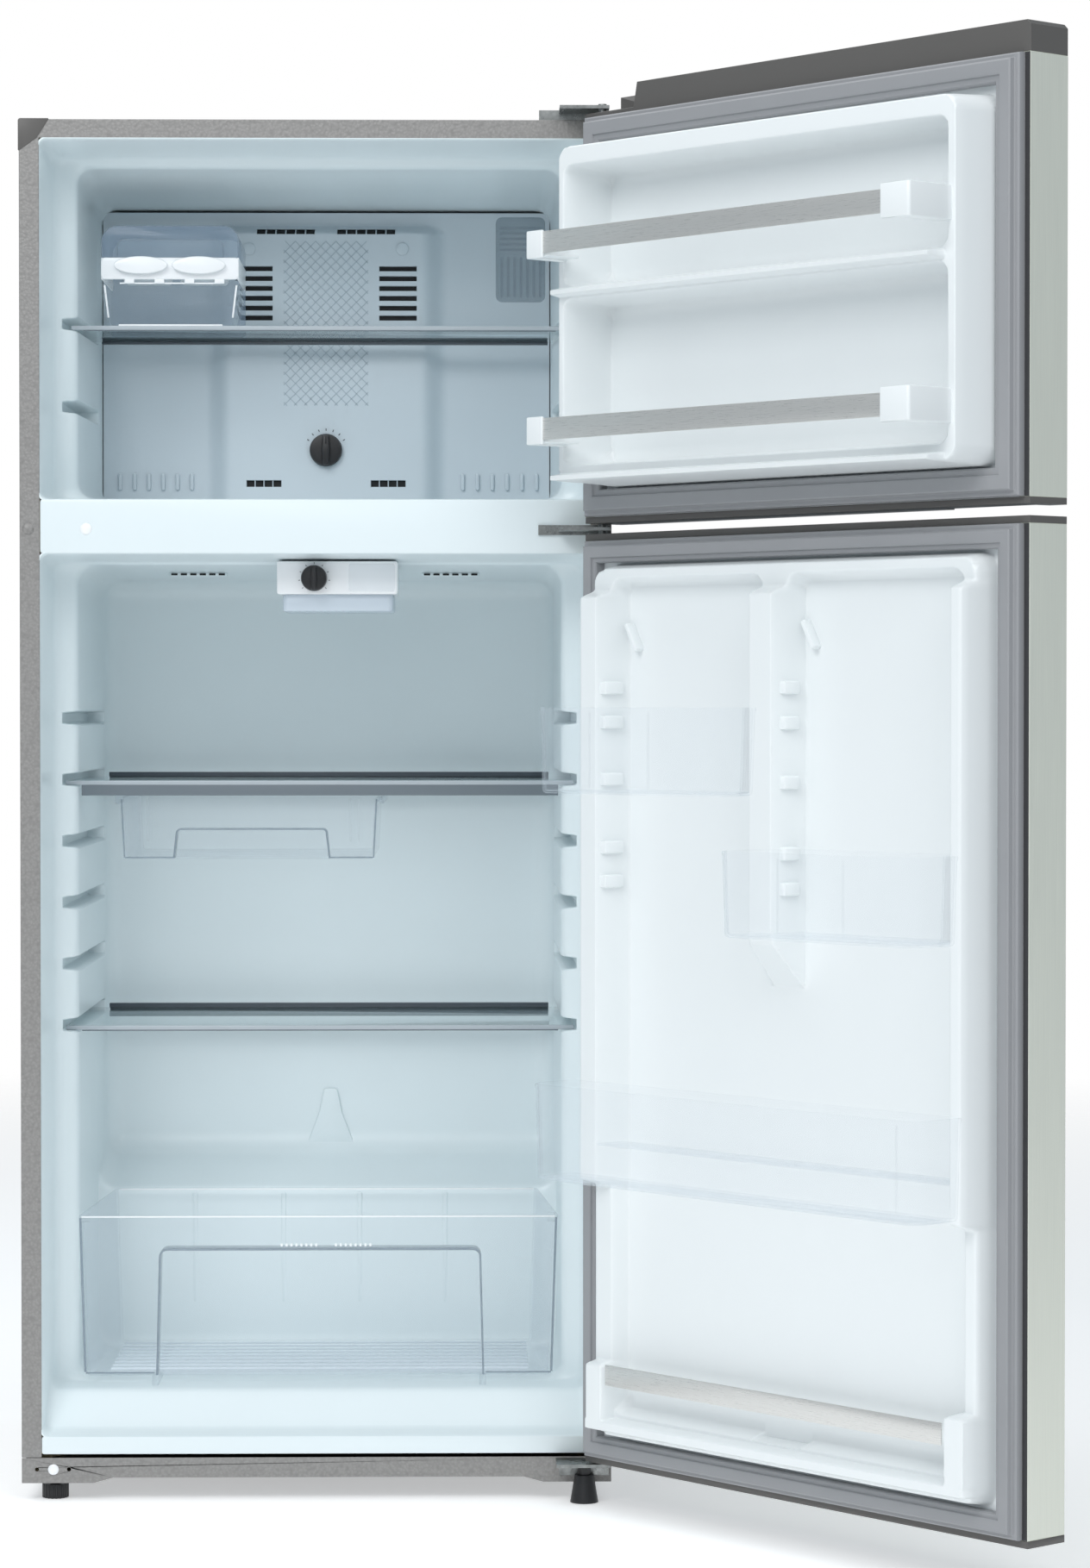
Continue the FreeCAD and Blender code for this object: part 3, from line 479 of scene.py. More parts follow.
MARK_GREY = moulded("printed_ticks", linear(70, 74, 80), rough=0.5, grain=0.02)
MARK_LIGHT = moulded("printed_lattice", linear(182, 196, 205), rough=0.45, grain=0.02)
ALUMINIUM = brushed("aluminium", linear(200, 203, 206), (1.0, 1.0, 0.2), rough=0.32)
FOAM = foam_skin("blown_foam", linear(228, 208, 158))
NYLON = moulded("nylon", linear(214, 214, 208), rough=0.45)


# ------------------------------------------------------------------ curves of one variable
def ramp(t):
    t = min(1.0, max(0.0, t))
    return t * t * t * (t * (6 * t - 15) + 10)


def track(points, t):
    """The value of a broken line at t."""
    if t <= points[0][0]:
        return points[0][1]
    for (a, va), (b, vb) in zip(points, points[1:]):
        if t <= b:
            return va + (vb - va) * (t - a) / (b - a)
    return points[-1][1]


def inside(u, z, u0, u1, z0, z1, r):
    """How far a point lies inside a rectangle with rounded corners; negative outside."""
    dx = max(u0 + r - u, u - (u1 - r))
    dz = max(z0 + r - z, z - (z1 - r))
    if dx > 0 and dz > 0:
        return r - math.hypot(dx, dz)
    return r - max(dx, dz)


def mix(a, b, t):
    return a + (b - a) * t


# ------------------------------------------------------------------ compartments
def mouth(half, low, high, radius, notches, depth):
    """The outline of a compartment at one depth, with the shelf grooves in both its walls."""
    def arc(cz, start):
        return [(half - radius + radius * math.cos(math.radians(start + 90 * k / CORNER_STEPS)),
                 cz + radius * math.sin(math.radians(start + 90 * k / CORNER_STEPS)))
                for k in range(CORNER_STEPS + 1)]

    profile = [(-2.5, 0.0), (-0.8, 0.12), (0.2, 0.5), (0.8, 0.88), (2.5, 1.0)]
    right = []
    for z, tall in notches:
        right += [(half + depth * share, z + step) for step, share in profile]
        right += [(half + depth * share, z + tall - step) for step, share in profile[::-1]]
    points = arc(low + radius, -90) + right + arc(high - radius, 0)
    return points + [(-x, z) for x, z in points[::-1]]


def liner_shell(depths, half, low, high, corner, back_y, back_r, grooves, groove_end):
    """A thermoformed compartment: one sheet with rounded corners, step and shelf grooves.

    The half width, the lowest and highest point and the corner radius are broken lines over depth.
    """
    groove_half = 316.0

    def ring(y, inset, grow):
        h = track(half, y) - inset + grow
        lo = track(low, y) + inset - grow
        hi = track(high, y) - inset + grow
        r = max(track(corner, y) - inset, 3.0) + grow
        deep = max(0.0, groove_half + grow - h) * (1 - ramp((y - groove_end + 14) / 14))
        wide = [(z - grow, tall + 2 * grow) for z, tall in grooves]
        return [(x, y, z) for x, z in mouth(h, lo, hi, r, wide, deep)]

    ends = [math.radians(a) for a in range(0, 91, 15)]
    back = [(back_y - back_r + back_r * math.sin(a), back_r * (1 - math.cos(a))) for a in ends]
    path = [(y, 0.0) for y in depths if y < back_y - back_r - 1] + back
    inner = [ring(y, inset, 0.0) for y, inset in path]
    outer = []
    for y, inset in path:
        shift = 0.0 if y < 60 else SHEET
        outer.append([(x, depth + shift, z) for x, depth, z in ring(y, inset, SHEET)])
    return stack(inner[::-1] + outer)


def step_depths(y, wide, narrow):
    """Half width against depth where a wall steps in with soft rounded shoulders."""
    drop = wide - narrow
    shares = [(-22, 0.0), (-14, 0.02), (-9, 0.07), (-5, 0.16), (-2.5, 0.28), (-1, 0.42),
              (0.5, 0.60), (2, 0.74), (4.5, 0.87), (8.5, 0.96), (14, 0.995), (20, 1.0)]
    return [(y + dy, wide - drop * share) for dy, share in shares]


def freezer_room():
    step = FREEZER_STEP
    half = [(0.3, 331.4), (3.0, 330.2)] + step_depths(step, 326.4, 296.5) + [(470, 284.0)]
    low = [(0.3, 1204.5), (3.0, 1205.8), (8.0, 1206.0), (step - 6, 1208.0), (step + 10, 1212.0),
           (470, 1212.0)]
    high = [(0.3, 1637.2), (3.0, 1635.8)] + step_depths(step, 1631.0, 1616.0) + [(470, 1585.0)]
    depths = sorted({p[0] for p in half + low} | {30.0, 60.0, 90.0}
                    | {160.0 + 20 * k for k in range(9)} | {321.0 + 3.5 * k for k in range(6)}
                    | {360.0, 400.0, 430.0})
    grooves = [(1317.5, 14.0), (1419.0, 14.0)]
    shape = liner_shell(depths, half, low, high, [(0, 9), (100, 14), (140, 20)], 470.0, 18.0, grooves, 335.0)
    piece("freezer_liner_sheet", shape, WHITE, "cabinet", ["freezer_liner"])


def fridge_room():
    step = FRIDGE_STEP
    half = [(0.3, 331.4), (3.0, 330.2)] + step_depths(step, 326.4, 296.5) + [(500, 294.0)]
    sill = [(0.3, 76.4), (3.0, 77.8), (10, 79.6), (20, 82.0), (25, 86.6), (30, 92.4), (36, 99.2),
            (44, 108.6), (50, 115.6), (55, 121.0), (58, 123.6), (61, 125.1), (66, 125.8), (72, 126.0)]
    hump = [(352, 126.0), (358, 127.5), (362, 131.0), (364.5, 138.0), (366, 150.0), (368.2, 318.0),
            (368.8, 326.0), (370.2, 332.0), (373, 336.2), (378, 338.8), (388, 342.0), (500, 372.0)]
    high = [(0.3, 1141.2), (3.0, 1139.6)] + step_depths(step, 1134.5, 1130.0) + [(500, 1121.0)]
    depths = sorted({p[0] for p in half + sill + hump} | {88.0}
                    | {150.0 + 25 * k for k in range(8)} | {405.0, 430.0}
                    | {452.0 + 3.5 * k for k in range(5)})
    grooves = [(557.3 + 75.5 * k, 15.0) for k in range(6)]
    shape = liner_shell(depths, half, sill + hump, high, [(0, 10), (100, 16), (140, 26)],
                        500.0, 26.0, grooves, 468.0)
    piece("fridge_liner_sheet", shape, WHITE, "cabinet", ["fridge_liner"])
    lip = slab(rectangle(-331.0, 331.0, 55.7, 77.2), 3.0, 0.1, 3.4, 1.4, "y")
    piece("cabinet_bottom_lip", lip, WHITE, "cabinet")


def fridge_room_details():
    """Drain channel, panel lines of the compressor hump, and the ceiling vents with their frames."""
    drain = [(-9, 452), (9, 452), (15, 420), (32, 377), (-32, 377), (-15, 420)]
    parts = [slab(drain, 5.0, 495.0, 499.5, 2.0, "y")]
    for x in (-170.0, -56.0, 42.0, 152.0):
        parts.append(slab(rectangle(x - 3, x + 3, 150, 330), 2.5, HUMP_FACE, HUMP_FACE + 3, 1.2, "y"))
    slots = []
    for x in (-160.0, 160.0):
        parts.append(slab(rectangle(x - 37, x + 37, 288, 306), 4.0, 1121.5, 1126.5, 1.5))
        for k in range(6):
            left = x - 34 + 12 * k
            slots.append(slab(rectangle(left, left + 8, 286.5, 290), 0.8, 1122.5, 1125.0, 0.5))
    piece("fridge_liner_details", joined(*parts), WHITE, "cabinet")
    piece("ceiling_vents", joined(*slots), DARK, "cabinet")


# ------------------------------------------------------------------ freezer fittings
def evaporator_cover():
    top, bottom = 1590.5, 1207.0

    def height(x, z):
        short = math.hypot(max(0.0, 1 - (157.0 - abs(x)) / 38.0), max(0.0, 1 - (1576.0 - z) / 16.0))
        return mix(COVER_LOW_FACE, COVER_FACE, ramp(1 - short)) + 5.0 * slot_at(x, z)

    slots = []
    for side in (-1, 1):
        for k in range(6):
            x = side * (20.0 + 12.6 * k)
            slots.append((x - 5.4, x + 5.4, 1561.5, 1568.0))
            z = 1454.0 + 12.6 * k
            x0, x1 = sorted((side * 68.5, side * 116.0))
            slots.append((x0, x1, z - 2.9, z + 2.9))
        for k in range(4):
            x = side * (62.5 + 11.4 * k)
            slots.append((x - 4.9, x + 4.9, 1238.0, 1246.0))

    def slot_at(x, z):
        return int(any(a < x < b and c < z < d for a, b, c, d in slots))

    us = sorted({round(v, 3) for a, b, _, _ in slots for v in (a - 0.4, a + 0.01, b - 0.01, b + 0.4)}
                | {-286.6 + 8 * k for k in range(16)} | {286.6 - 8 * k for k in range(16)}
                | {s * (119.0 + 3 * k) for k in range(14) for s in (-1, 1)}
                | {-50.0 + 10 * k for k in range(11)})
    zs = sorted({round(v, 3) for _, _, c, d in slots for v in (c - 0.4, c + 0.01, d - 0.01, d + 0.4)}
                | {bottom + 10 * k for k in range(24)} | {1556.0 + 2.5 * k for k in range(11)}
                | {1530.0, 1542.0, 1584.0, top})
    shape = relief(us, zs, height, -2.2, slot_at)
    piece("evaporator_cover_panel", shape, [COOL_WHITE, DARK], "cabinet",
          ["evaporator_cover"], marks=shape[2])
    parts = [slab(circle(x, 1542.0, 8.0, 28), 0, COVER_FACE - 2.4, COVER_FACE + 0.4, 0.8, "y")
             for x in (-98.0, 98.0)]
    for x0, x1 in ((-265.0, -173.0), (175.0, 270.0)):
        for k in range(6):
            x = x0 + (x1 - x0) * k / 5
            parts.append(slab(rectangle(x - 2.4, x + 2.4, 1234, 1256), 2.2, COVER_LOW_FACE - 4.5,
                              COVER_LOW_FACE + 0.6, 1.6, "y"))
    piece("evaporator_cover_trim", joined(*parts), COOL_WHITE, "cabinet")


def lattice():
    """The printed lattice of slanted lines on the evaporator cover."""
    low, high, half = 1342.0, 1552.0, 54.0
    lines = []
    for k in range(-9, 17):
        middle = low + 13.0 * k + half
        for lean in (-half, half):
            clipped = clip_line((-half, middle - lean), (half, middle + lean), low, high)
            if clipped:
                lines.append(bar(*clipped, 0.55, COVER_FACE - 0.5, COVER_FACE + 0.3))
    piece("lattice_panel", joined(*lines), MARK_LIGHT, "cabinet")


def clip_line(a, b, low, high):
    """The stretch of a line in (x, z) that lies between two heights, as xa, za, xb, zb."""
    (xa, za), (xb, zb) = sorted((a, b), key=lambda point: point[1])
    if zb <= low + 2 or za >= high - 2:
        return None

    def at(z):
        return xa + (xb - xa) * (z - za) / (zb - za)

    first = (at(low), low) if za < low else (xa, za)
    last = (at(high), high) if zb > high else (xb, zb)
    return first + last


def bar(xa, za, xb, zb, half, y0, y1):
    """A thin straight raised line on a wall that faces the front."""
    run = Vector((xb - xa, zb - za)).normalized() * half
    side = Vector((-run.y, run.x))
    points = [(xa + side.x, za + side.y), (xa - side.x, za - side.y),
              (xb - side.x, zb - side.y), (xb + side.x, zb + side.y)]
    return slab(points, 0, y0, y1, 0.15, "y")


def spokes(cx, cz, angles, inner, outer, half, y0, y1):
    """Ticks round a knob, at angles in degrees."""
    ticks = []
    for angle in angles:
        c, s = math.cos(math.radians(angle)), math.sin(math.radians(angle))
        ticks.append(bar(cx + inner * c, cz + inner * s, cx + outer * c, cz + outer * s, half, y0, y1))
    return joined(*ticks)


def freezer_lamp():
    low, high = node_box("freezer_lamp_lens")
    x0, x1, z0 = low.x, high.x, low.z
    face = COVER_FACE + 0.2
    parts = [slab(rectangle(x0, x1, z0, 1583.5), 8.0, COVER_FACE + 1, COVER_FACE + 21.6, 3.0, "y")]
    for k in range(7):
        left = x0 + 6 + 8.2 * k
        parts.append(slab(rectangle(left, left + 3.5, z0 + 5, z0 + 56), 1.2, face, face + 2.2, 0.6, "y"))
    for k in range(5):
        bottom = z0 + 64 + 7 * k
        parts.append(slab(rectangle(x0 + 5, x1 - 5, bottom, bottom + 3), 1.2, face, face + 2.2, 0.6, "y"))
    piece("freezer_lamp_cover", joined(*parts), LAMP_COVER, "cabinet", ["freezer_lamp_lens"])


def airflow_knob():
    x, _, z = pivot("airflow_knob_turn")
    knob = joined(turned([(0.5, 340.4), (14, 340.4), (19.6, 341.4), (20.8, 343.4), (20.8, 348.4),
                          (20.2, 349.4), (0.5, 349.4)], (x, z)),
                  slab([(-4, z - 19.1), (4, z - 19.1), (5.6, z), (4, z + 19.1), (-4, z + 19.1),
                        (-5.6, z)], 2.0, 333.5, 341.6, 1.8, "y"),
                  slab(rectangle(-0.9, 0.9, z + 7.4, z + 17.4), 0.5, 332.9, 334.2, 0.3, "y"))
    piece("airflow_dial", knob, BLACK, "airflow_knob", ["airflow_knob"])
    ticks = spokes(x, z, range(30, 151, 20), 25, 28, 0.5, COVER_FACE - 0.6, COVER_FACE + 0.2)
    piece("airflow_ticks", ticks, MARK_GREY, "cabinet")


def ice_frame():
    x0, x1 = ICE_LEFT + 1, ICE_RIGHT - 1
    top = 1550.0
    glass_top = node_box("freezer_shelf_glass")[1].z
    arch = open_frame(x0, x1, DECK_TOP - 0.5, top, 0.0, 155.4, 299.4, 2.2, 20.0)
    face = slab(rectangle(x0, x1, DECK_TOP - 0.5, top), [0.5, 0.5, 20, 20], 153.0, 155.2, 0.6, "y")
    back = slab(rectangle(x0, x1, glass_top + 0.3, DECK_TOP), 5.0, 297.6, 299.8, 0.8, "y")
    piece("ice_hood", joined(arch, face, back), HOOD, "freezer_shelf", ["ice_frame"])
    frames = [open_frame(x0, x1, DECK_TOP - 0.2, top, 0.0, 152.2, 153.4, 1.6, 20.0),
              open_frame(x0 + 19, x1 - 19, DECK_TOP - 0.2, top - 17, 0.0, 151.8, 153.2, 1.4, 9.0)]
    piece("ice_hood_edges", joined(*frames), EDGE, "freezer_shelf")
    parts = [slab(rectangle(x0, x1, DECK_LOW, DECK_TOP), 5.0, 147.4, 152.0, 1.6, "y")]
    for x in (x0, x1 - 2.4):
        parts.append(slab(rectangle(x, x + 2.4, DECK_LOW, DECK_TOP), 1.0, 150, 299, 0.8, "y"))
    for k in range(4):
        x = x0 + 29 + 37 * k
        parts.append(slab(rectangle(x, x + 12, DECK_LOW - 5, DECK_LOW + 1), 1.0, 148.0, 151.0, 0.8, "y"))
    piece("ice_deck", joined(*parts), BRIGHT_WHITE, "freezer_shelf")


def ice_twister(name):
    """One twist knob with its shaft and its tray of two rows of cells."""
    x, _, z = pivot(name + "_turn")
    low, high = z - 6, z + 7.4
    parts = [slab(circle(x, z + 4, 33.0, 56, 0.33), 0, 138.8, 147.0, 2.2, "y"),
             turned([(4.0, 146.0), (4.0, 158.2)], (x, z), 20),
             tub(rectangle(x - 31, x + 31, 158, 284), 5.0, z - 8, z + 8, wall=1.8, taper=2.0, lip=0.0,
                 floor=1.8)]
    for k in range(1, 4):
        y = 158 + 31.5 * k
        parts.append(slab(rectangle(x - 29.5, x + 29.5, y, y + 2), 0.4, low, high, 0.4))
    parts.append(slab(rectangle(x - 1, x + 1, 160, 282), 0.4, low, high, 0.4))
    piece(name + "_tray", joined(*parts), BRIGHT_WHITE, name, [name])


def ice_bin():
    """A clear bin whose rear wall is lower, so that the trays can turn while it stands out."""
    base = node_box("ice_bin")[0].z
    x0, x1 = ICE_LEFT + 2, ICE_RIGHT - 2
    low_part = tub(rectangle(x0, x1, 151, 291), 16.0, base + 0.1, 1466.5, wall=2.2, taper=7.0, lip=0.4)
    outer = [(x0, 289), (x0, 151), (x1, 151), (x1, 289)]
    inner = [(x1 - 2.2, 289), (x1 - 2.2, 153.2), (x0 + 2.2, 153.2), (x0 + 2.2, 289)]
    collar = slab(outer + inner, [0.3, 16, 16, 0.3, 0.3, 13.8, 13.8, 0.3], 1466.3, 1480.4, 0.5)
    piece("ice_bin_shell", joined(low_part, collar), CLEAR, "ice_bin", ["ice_bin"])
    # bright white lines along the clear bin's sides, bottom and rim: painted highlights
    lines = [bar(x0 + 2.6, 1477, x0 + 7.4, base + 12, 1.1, 158.6, 160.2),
             bar(x1 - 2.6, 1477, x1 - 7.4, base + 12, 1.1, 158.6, 160.2),
             bar(x0 + 20, base + 2.4, x1 - 20, base + 2.4, 1.1, 156.4, 158.0),
             bar(x0 + 22, 1478.6, x1 - 22, 1478.6, 0.8, 150.6, 151.8)]
    piece("ice_bin_edge_highlights", joined(*lines), BRIGHT_WHITE, "ice_bin")


# ------------------------------------------------------------------ shelves and drawers
def shelf(name, inner, half, rail, apron):
    """A glass pane with a silver nose, a grey apron under it and a dark rail behind."""
    low, high = node_box(name + "_glass")
    trim_low, trim_high = node_box(name + "_trim")
    front, rear = trim_low.y, trim_high.y
    pane = slab(rectangle(low.x, high.x, low.y, high.y), 3.0, low.z, high.z, 0.8)
    piece(name + "_pane", pane, GLASS, name, [name + "_glass"])
    nose = slab(rectangle(front + 0.3, front + 3.9, low.z - 1.0, high.z + 0.5), 1.4, -half, half, 0.8, "x")
    piece(name + "_nose", nose, TRIM, name, [name + "_trim"])
    under = slab(rectangle(front + 1.0, front + 3.6, low.z - apron, low.z - 0.6), 0.9, -inner, inner,
                 0.6, "x")
    piece(name + "_apron", under, APRON, name)
    mouth_y, floor_y, back_y = rear - 11.8, rear - 3.2, rear - 0.1
    bottom, top = low.z - rail, high.z + rail - 1.4
    channel = [(mouth_y, bottom), (back_y, bottom), (back_y, top), (mouth_y, top),
               (mouth_y, high.z + 0.05), (floor_y, high.z + 0.05),
               (floor_y, low.z - 0.05), (mouth_y, low.z - 0.05)]
    holder = slab(channel, 0.6, -inner + 7, inner - 7, 0.5, "x")
    piece(name + "_rear_rail", holder, REAR, name)


def open_frame(x0, x1, z0, z1, flare, y0, y1, wall, radius):
    """A thin-walled arch or trapezium that is open below."""
    outer = [(x0 - flare, z0), (x0, z1), (x1, z1), (x1 + flare, z0)]
    inner = [(x1 + flare - wall, z0), (x1 - wall, z1 - wall), (x0 + wall, z1 - wall),
             (x0 - flare + wall, z0)]
    radii = [0.3, radius, radius, 0.3, 0.3, radius - wall, radius - wall, 0.3]
    return slab(outer + inner, radii, y0, y1, 0.5, "y")


def snack_drawer():
    """The small drawer and the two rails it hangs on, under the upper shelf."""
    parts = []
    for x, inward in ((-253.0, 4.8), (77.0, -4.8)):
        x0, x1 = sorted((x, x + inward))
        parts.append(slab(rectangle(x - 0.9, x + 0.9, 151, 429), 0.4, 836.4, 861.0, 0.3))
        parts.append(slab(rectangle(x0, x1, 151, 429), 0.4, 836.2, 837.9, 0.3))
    piece("snack_drawer_rails", joined(*parts), CLEAR, "upper_shelf")
    x0, x1 = -246.0, 70.0
    bottom = node_box("snack_drawer")[0].z
    parts = [tub(rectangle(x0, x1, 139, 426), 8.0, bottom + 0.1, 844.4, wall=2.4, taper=4.0, lip=0.4)]
    for x in (x0 + 22, x0 + 32, x1 - 34, x1 - 24):
        parts.append(slab(rectangle(x, x + 2.0, 139.6, 150), 0.5, 790, 843, 0.5))
    for x in (x0 - 4.9, x1 - 0.7):
        parts.append(slab(rectangle(x, x + 5.6, 152, 427), 0.6, 838.7, 840.9, 0.5))
    piece("snack_drawer_shell", joined(*parts), CLEAR, "snack_drawer", ["snack_drawer"])
    z = bottom + 2.0
    grip = open_frame(x0 + 68, x1 - 62, bottom + 1, 806.0, 4.0, 141.0, 166.0, 2.0, 6.0)
    lines = [bar(x0 + 0.8, 842, x0 + 4.4, z, 0.9, 138.7, 140.2),
             bar(x1 - 0.8, 842, x1 - 4.4, z, 0.9, 138.7, 140.2),
             bar(x0 + 5, z, x0 + 66, z, 0.9, 138.9, 140.4),
             bar(x1 - 60, z, x1 - 5, z, 0.9, 138.9, 140.4)]
    piece("snack_drawer_edges", joined(grip, *lines), EDGE, "snack_drawer")


def crisper_drawer():
    bottom = node_box("crisper_drawer")[0].z
    plan = [(-291, 58), (291, 58), (268.6, 356), (-268.6, 356)]
    parts = [tub(plan, [12, 12, 22, 22], 140.2, 337.0, wall=3.0, taper=7.0, lip=1.4, floor=3.0)]
    for x in (-200, 200):
        parts.append(slab(rectangle(x - 4, x + 4, 75, 340), 1.0, bottom + 0.1, 141.0, 0.6))
    for x in (-284.0, 284.0):
        parts.append(slab(rectangle(x - 5, x + 5, 62, 80), 2.0, 328, 338.6, 1.0))
    piece("crisper_shell", joined(*parts), CLEAR, "crisper_drawer", ["crisper_drawer"])
    grip = open_frame(-194.0, 198.0, 141.5, 296.0, 4.0, 60.5, 92.0, 2.4, 10.0)
    lines = [bar(-289.5, 334, -283.6, 146, 1.4, 57.2, 59.2), bar(289.5, 334, 283.6, 146, 1.4, 57.2, 59.2),
             bar(-283, 145, -200, 145, 0.9, 57.6, 59.6), bar(204, 145, 283, 145, 0.9, 57.6, 59.6)]
    piece("crisper_edges", joined(grip, *lines), EDGE, "crisper_drawer")
    rims = [bar(-288, 335.4, 288, 335.4, 0.9, 56.9, 58.4), bar(-266, 335.4, 266, 335.4, 0.9, 352.0, 353.6)]
    piece("crisper_rims", joined(*rims), BRIGHT_WHITE, "crisper_drawer")
    ribs = [slab(rectangle(-256, 256, 96 + 26 * k, 97.6 + 26 * k), 0.3, 143.0, 145.6, 0.4)
            for k in range(9)]
    piece("crisper_ribs", joined(*ribs), RIM, "crisper_drawer")
    marks = [slab(rectangle(-46 + 6.0 * k, -43.4 + 6.0 * k, 299, 302.5), 0.4, 57.4, 58.6, 0.3, "y")
             for k in range(19) if k not in (8, 9, 10)]
    piece("crisper_slider_marks", joined(*marks), BRIGHT_WHITE, "crisper_drawer")


def control_unit():
    """The housing under the fridge's ceiling, with its lamp lens and its thermostat."""
    front = slab(rectangle(-50, 97, 1093, 1133.4), 3.0, 65.2, 121.0, 2.0, "y")
    behind = slab(rectangle(-49, 96, 1093, 1126.6), 3.0, 119.0, 209.5, 2.0, "y")
    piece("control_front", joined(front, behind), BRIGHT_WHITE, "cabinet",
          ["control_housing"])
    parts = [slab(rectangle(-43.5, 91.5, 74.5, 203.5), 7.0, 1072.2, 1093.5, 3.0)]
    for k in range(8):
        parts.append(slab(rectangle(-30 + 9 * k, -27 + 9 * k, 76.5, 200), 0.6, 1071.9, 1074.0, 0.5))
    piece("control_base", joined(*parts), HOUSING, "cabinet")
    lens = slab(rectangle(37.5, 93.5, 1096.5, 1130.5), 3.0, 64.3, 66.6, 0.8, "y")
    piece("control_lens", lens, FROST, "cabinet", ["fridge_lamp_lens"])
    x, _, z = pivot("thermostat_knob_turn")
    dial = joined(turned([(0.4, 49.6), (11, 49.6), (14.8, 50.6), (15.7, 52.4), (15.7, 63.4),
                          (15.2, 64.4), (0.4, 64.4)], (x, z)),
                  slab([(x - 3, z - 14.6), (x + 3, z - 14.6), (x + 4.2, z), (x + 3, z + 14.6),
                        (x - 3, z + 14.6), (x - 4.2, z)], 1.5, 44.3, 50.4, 1.4, "y"))
    piece("thermostat_dial", dial, BLACK, "thermostat_knob", ["thermostat_knob"])
    ticks = spokes(x, z, [-40 + 32.5 * k for k in range(9)], 17.4, 19.4, 0.35, 64.8, 65.4)
    piece("thermostat_ticks", ticks, MARK_GREY, "cabinet")


# ------------------------------------------------------------------ doors
def gasket(name, body, z0, z1, width):
    """A magnetic gasket: outer lip, magnet tube and inner lip, with mitred corners; beside it a thin dark
    ring of painted shade for the gap between gasket and door edge.
    """
    section = [(0.6, 0.0), (0.3, 5.0), (0.9, 8.4), (2.6, 10.0), (5.6, 10.3), (6.6, 11.4),
               (7.2, 16.4), (8.8, 17.5), (19.0, 17.5), (20.4, 16.8), (21.0, 14.6), (22.6, 14.2),
               (25.2, 14.2), (26.4, 12.6), (26.8, 9.0), (26.2, 0.0)]
    section = [(s if s < 14 else 14 + (s - 14) * (width - 14) / 12.8, h) for s, h in section]
    verts, faces = along(rectangle(HINGE_X - GASKET_HALF, HINGE_X + GASKET_HALF, z0, z1), section)
    shape = [(u, PANEL + h, z) for u, z, h in verts], faces
    piece(name, shape, GASKET, body, [body + "_gasket"], door=True, sharp=30.0)
    # a thin dark ring on the door panel just outside the gasket: painted shade for the gap there
    verts, faces = along(rectangle(-11.4, 697.4, z0 + 0.3, z1 - 0.3),
                         [(0.0, 0.05), (0.0, 0.5), (6.6, 0.5), (6.6, 0.05)])
    gap_shade = [(u, PANEL + h, z) for u, z, h in verts], faces
    piece(name + "_gap_shade", gap_shade, GAP_SHADE, body, door=True)


def freezer_door_height(u, z):
    """Depth of the freezer door's liner: a tapering rim, two pockets and the ledges below them."""
    rim = mix(100.0, 85.0, u / 686.0)
    w = mix(PANEL, rim, ramp(inside(u, z, 26.5, 659.5, 1214.5, 1617, 24) / 7.0))
    for z0, z1 in ((1237.0, 1434.0), (1447.0, 1590.0)):
        w = mix(w, 29.0, ramp(inside(u, z, 40, 644, z0, z1, 16) / 9.0))
    for z0, z1 in ((1435.0, 1446.6), (1218.0, 1230.0)):
        w = max(w, mix(w, 112.0, ramp(inside(u, z, 28, 640, z0, z1, 5) / 3.6)))
    return w


def fridge_door_height(u, z):
    """Depth of the fridge door's liner: two columns that join lower down, and a pocket below."""
    rim = mix(45.0, 70.0, ramp((z - 390) / 12.0))
    rim = mix(rim, 47.0, ramp((z - 1082) / 14.0))
    w = mix(PANEL, rim, ramp(inside(u, z, 30, 656, 89, 1126, 26) / 9.0))
    floor = 22.0
    for u0, u1 in ((64.0, 324.0), (357.0, 634.0)):
        w = mix(w, floor, ramp(inside(u, z, u0, u1, 121, 1109, 22) / 10.0))
    foot = floor + max(0.0, z - 638) * 0.9
    if foot < w:
        w = mix(w, foot, ramp(inside(u, z, 300, 380, 121, 700, 2) / 3.0))
    w = max(w, mix(w, 64.0, ramp(inside(u, z, 36, 650, 101, 119.5, 5) / 4.5)))
    for u0, u1, top in ((36.0, 72.0, 187.0), (614.0, 652.0, 195.0)):
        w = max(w, mix(w, 64.0, ramp(inside(u, z, u0, u1, 108, top, 9) / 6.0)))
    return w


def door_liner(name, body, height, u_edges, z_edges):
    """A door's white sheet and the foam behind it, which follows the sheet."""
    low, high = node_box(body + "_liner")
    us = grid_lines(3.4, 682.6, u_edges)
    zs = grid_lines(low.z + 0.1, high.z - 0.1, z_edges)
    shape = relief(us, zs, height, SHEET)
    piece(name, shape, DOOR_WHITE, body, [body + "_liner"], door=True, sharp=60.0)
    low, high = node_box(body + "_foam")
    us = [-10.5] + us + [696.5]
    zs = [low.z + 0.3] + [z for z in zs if low.z + 0.6 < z < high.z - 0.6] + [high.z - 0.3]
    core = relief(us, zs, lambda u, z: height(u, z) - 2 * SHEET, 0, flat=-41.5)
    piece(body + "_foam_core", core, FOAM, body, [body + "_foam"], door=True, sharp=60.0)


